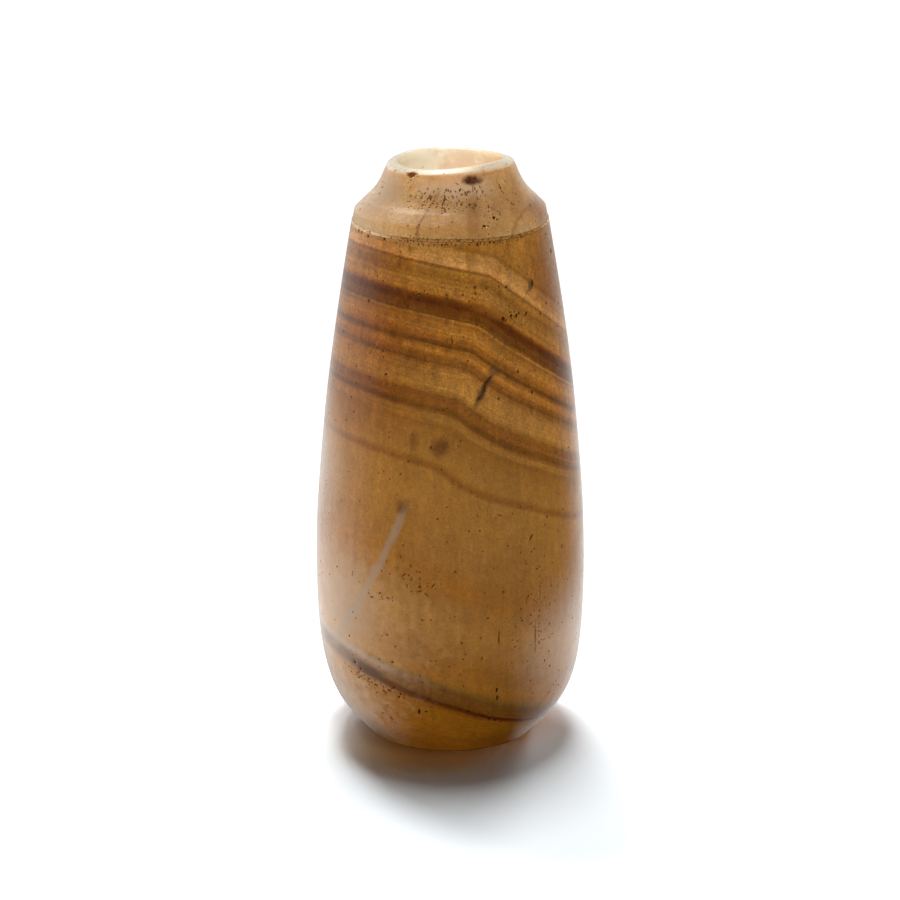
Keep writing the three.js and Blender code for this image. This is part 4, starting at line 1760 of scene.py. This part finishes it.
@dataclass(frozen=True)
class Lamp:
    """One soft lamp of the studio.

    Attributes:
        name: Its name.
        azimuth: Where it hangs, in degrees from the front towards the right.
        elevation: How high it hangs, in degrees.
        light: Its light on a surface that faces it, where 1 shows a colour as it is written.
        spread: How broad it looks, in degrees.
        glossy: Whether it shows in the stone's polish.
        matte: Whether it lights the stone's colour.
    """

    name: str
    azimuth: float
    elevation: float
    light: float
    spread: float
    glossy: bool = True
    matte: bool = True

    def hang(self) -> None:
        """Hang the lamp in the scene."""
        lamp = bpy.data.lights.new(self.name, "SUN")
        lamp.energy = self.light * math.pi
        lamp.angle = math.radians(self.spread)
        hung = bpy.data.objects.new(self.name, lamp)
        turn, rise = math.radians(self.azimuth), math.radians(self.elevation)
        away = Vector((math.sin(turn) * math.cos(rise), -math.cos(turn) * math.cos(rise), math.sin(rise)))
        hung.rotation_euler = away.to_track_quat("Z", "Y").to_euler()
        hung.visible_glossy = self.glossy
        hung.visible_diffuse = self.matte
        bpy.context.scene.collection.objects.link(hung)


@dataclass
class Studio:
    """The white floor, the plain soft light and the camera.

    The room is white behind the jar and at its sides, and dark behind the camera, so that the polish shows
    pale sheens down both flanks and none in front.

    Attributes:
        floor_size: The floor's side.
        shadow_reach: How far from the jar the floor still takes shadows.
        white_reach: Beyond this the floor is plain white.
        floor_colour: How light the floor is to every ray but the camera's.
        floor_seen: How light it is to the camera's, so that it shows white.
        camera_place: Where the camera stands.
        camera_pitch: How far it looks down, in degrees.
        lens: Its focal length in millimetres.
        white_side: The direction in which the room is whitest.
        floor_fade: How the floor's white fades away from that side, far from the jar.
        near_fade: How it fades on the right, close to the jar.
        near_reach: The distances between which the one gives way to the other.
        room_fade: How the room's white fades away from that side.
        skylight: The strength of the light that the stone gets from all round.
        floor_cast: The floor's own tint, which makes up for the warm light that the stone gives back to it.
        stone_glow: The tint of the light that the floor gets through the stone.
        glow_place: Where on the floor that tint is deepest.
        glow_ring: How far from there it starts to fade, and where it is gone.
        foot_shade: The light that is left in the crease between the floor and the jar.
        shade_place: The middle of that crease's ring.
        shade_ring: The distances from there between which the shade fades.
        right_side: How far to the right a direction points where the floor's near white comes in.
        polish_reach: The distances between which the floor's white fades in the polish.
        polish_fade: How white it shows there, near and far.
        crease_reach: The distances between which the crease's dark fades in the polish.
        crease_left: The white left in it there, away from the right side and on it.
        sensor: The width of the camera's sensor in millimetres.
        lamps: The lamps.
    """

    floor_size: float = 12.0
    shadow_reach: float = 0.2
    white_reach: float = 0.4
    floor_colour: float = 0.93
    floor_seen: float = 1.48
    camera_place: tuple[float, float, float] = (-0.00012, -1.0, 0.4113)
    camera_pitch: float = 17.33
    lens: float = 122.1
    white_side: tuple[float, float, float] = (-0.423, 0.906, 0)
    floor_fade: Shares = (-0.3, 0.7)
    near_fade: Shares = (-1.3, 0.1)
    near_reach: Shares = (0.08, 0.25)
    room_fade: Shares = (0.0, 0.95)
    skylight: float = 0.03
    floor_cast: tuple[float, float, float] = (0.93, 0.99, 1.03)
    stone_glow: tuple[float, float, float] = (0.62, 0.45, 0.21)
    glow_place: tuple[float, float, float] = (-0.006, -0.026, 0)
    glow_ring: Shares = (0.012, 0.036)
    foot_shade: float = 0.62
    shade_place: tuple[float, float, float] = (-0.004, 0.004, 0)
    shade_ring: Shares = (0.028, 0.042)
    right_side: Shares = (0.25, 0.95)
    polish_reach: Shares = (0.12, 0.9)
    polish_fade: Shares = (1.1, 0.48)
    crease_reach: Shares = (0.045, 0.11)
    crease_left: Shares = (0.45, 0.85)
    sensor: float = 36
    lamps: tuple[Lamp, ...] = (
        Lamp("top_lamp", 179, 74, 0.54, 18),
        Lamp("back_lamp", 202, 60, 0.25, 9),
        Lamp("low_back_lamp", 193, 29, 0.24, 22, False),
        Lamp("horizon_lamp", 164, 7, 0.8, 14, False),
        Lamp("left_fill", -60, 1.0, 0.84, 3, False),
        Lamp("right_fill", 75, 1.0, 0.65, 3, False),
        Lamp("shoulder_sheen", -134, 64, 0.31, 38, matte=False),
    )

    def light(
        self, bench: Bench, direction: Source, spread: float, fade: Sequence[Source]
    ) -> bpy.types.NodeSocket:
        """Give the light that comes from a part of the room.

        Args:
            bench: The bench of the floor's or the room's shader.
            direction: The direction of that part, seen from the jar.
            spread: The light that it casts on the stone.
            fade: How near the direction is to the white side where the room is dark, and where it is white.

        Returns:
            1 to the camera, the room's white share to gloss and glass, and the spread light to the rest.
        """
        path = bench.node("ShaderNodeLightPath")
        camera = path.outputs["Is Camera Ray"]
        gloss = bench.math("MAXIMUM", path.outputs["Is Glossy Ray"], path.outputs["Is Transmission Ray"])
        white = bench.rise(bench.vector("DOT_PRODUCT", direction, self.white_side), *fade)
        other = bench.math("SUBTRACT", 1, bench.math("MAXIMUM", camera, gloss))
        seen = bench.math("MULTIPLY_ADD", gloss, white, camera)
        return bench.math("MULTIPLY_ADD", other, spread, seen)

    def floor(self) -> None:
        """Lay the floor, which keeps the jar's shadow and is plain white farther off."""
        plane = bmesh.new()
        bmesh.ops.create_grid(plane, x_segments=1, y_segments=1, size=self.floor_size / 2)
        mesh = bpy.data.meshes.new("studio_floor")
        plane.to_mesh(mesh)
        plane.free()
        floor = bpy.data.objects.new("studio_floor", mesh)
        bpy.context.scene.collection.objects.link(floor)
        material = bpy.data.materials.new("studio_floor")
        bench = Bench(material)
        place = bench.node("ShaderNodeTexCoord").outputs["Object"]
        path = bench.node("ShaderNodeLightPath")
        near = bench.node("ShaderNodeBsdfDiffuse")
        shown = bench.rise(path.outputs["Is Camera Ray"], 0, 1, self.floor_colour, self.floor_seen)
        from_glow = bench.vector("LENGTH", bench.vector("SUBTRACT", place, self.glow_place))
        outside_glow = bench.rise(from_glow, *self.glow_ring)
        warmed = bench.mix(outside_glow, (*self.stone_glow, 1), (*self.floor_cast, 1))
        from_shade = bench.vector("LENGTH", bench.vector("SUBTRACT", place, self.shade_place))
        shade = bench.rise(from_shade, *self.shade_ring, self.foot_shade, 1)
        creased = bench.math("MULTIPLY", shown, shade)
        bench.feed(near.inputs["Color"], bench.vector("SCALE", warmed, creased))
        far = bench.node("ShaderNodeEmission")
        direction = bench.vector("NORMALIZE", place)
        distance = bench.vector("LENGTH", place)
        on_right = bench.rise(bench.separate(direction)[0], *self.right_side)
        close = bench.math("MULTIPLY", bench.rise(distance, *self.near_reach, 1, 0), on_right)
        fade = [
            bench.rise(close, 0, 1, plain, bright) for plain, bright in zip(self.floor_fade, self.near_fade)
        ]
        far_light = self.light(bench, direction, self.floor_colour, fade)
        in_polish = bench.math("MULTIPLY", distance, path.outputs["Is Glossy Ray"])
        fall = bench.rise(in_polish, *self.polish_reach, *self.polish_fade)
        white_left = bench.rise(close, 0, 1, *self.crease_left)
        under = bench.rise(distance, *self.crease_reach, white_left, 1)
        dimmed = bench.math("MULTIPLY", fall, under)
        bench.feed(far.inputs["Strength"], bench.math("MULTIPLY", far_light, dimmed))
        join = bench.node("ShaderNodeMixShader")
        share = bench.rise(distance, self.shadow_reach, self.white_reach)
        bench.feed(join.inputs["Fac"], bench.math("MAXIMUM", share, path.outputs["Is Glossy Ray"]))
        bench.feed(join.inputs[1], near.outputs[0])
        bench.feed(join.inputs[2], far.outputs[0])
        bench.surface(join.outputs[0])
        mesh.materials.append(material)

    def room(self) -> None:
        """Surround the scene with the white room."""
        world = bpy.data.worlds.new("studio_room")
        bpy.context.scene.world = world
        bench = Bench(world)
        direction = bench.node("ShaderNodeTexCoord").outputs["Generated"]
        sky = bench.node("ShaderNodeBackground")
        bench.feed(sky.inputs["Strength"], self.light(bench, direction, self.skylight, self.room_fade))
        output = bench.node("ShaderNodeOutputWorld")
        bench.feed(output.inputs["Surface"], sky.outputs[0])

    def camera(self) -> None:
        """Stand the camera where the jar is seen from slightly above."""
        data = bpy.data.cameras.new("camera")
        data.lens = self.lens
        data.sensor_width = self.sensor
        camera = bpy.data.objects.new("camera", data)
        camera.location = self.camera_place
        camera.rotation_euler = (math.radians(90 - self.camera_pitch), 0, 0)
        bpy.context.scene.collection.objects.link(camera)
        bpy.context.scene.camera = camera

    def build(self) -> None:
        """Set up the whole studio."""
        self.camera()
        self.floor()
        self.room()
        for lamp in self.lamps:
            lamp.hang()
        bpy.context.scene.view_settings.view_transform = "Standard"
        LOG.info("studio: floor, room, lamps and camera are in place")


def main() -> None:
    """Build the studio and the jar, and report each piece."""
    logging.basicConfig(level=logging.INFO, format="%(name)s: %(message)s")
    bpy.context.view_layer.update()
    Studio().build()
    for piece in (JarBody(), PlasterBed(), NeckPiece()):
        piece.build()


if __name__ == "__main__":
    main()
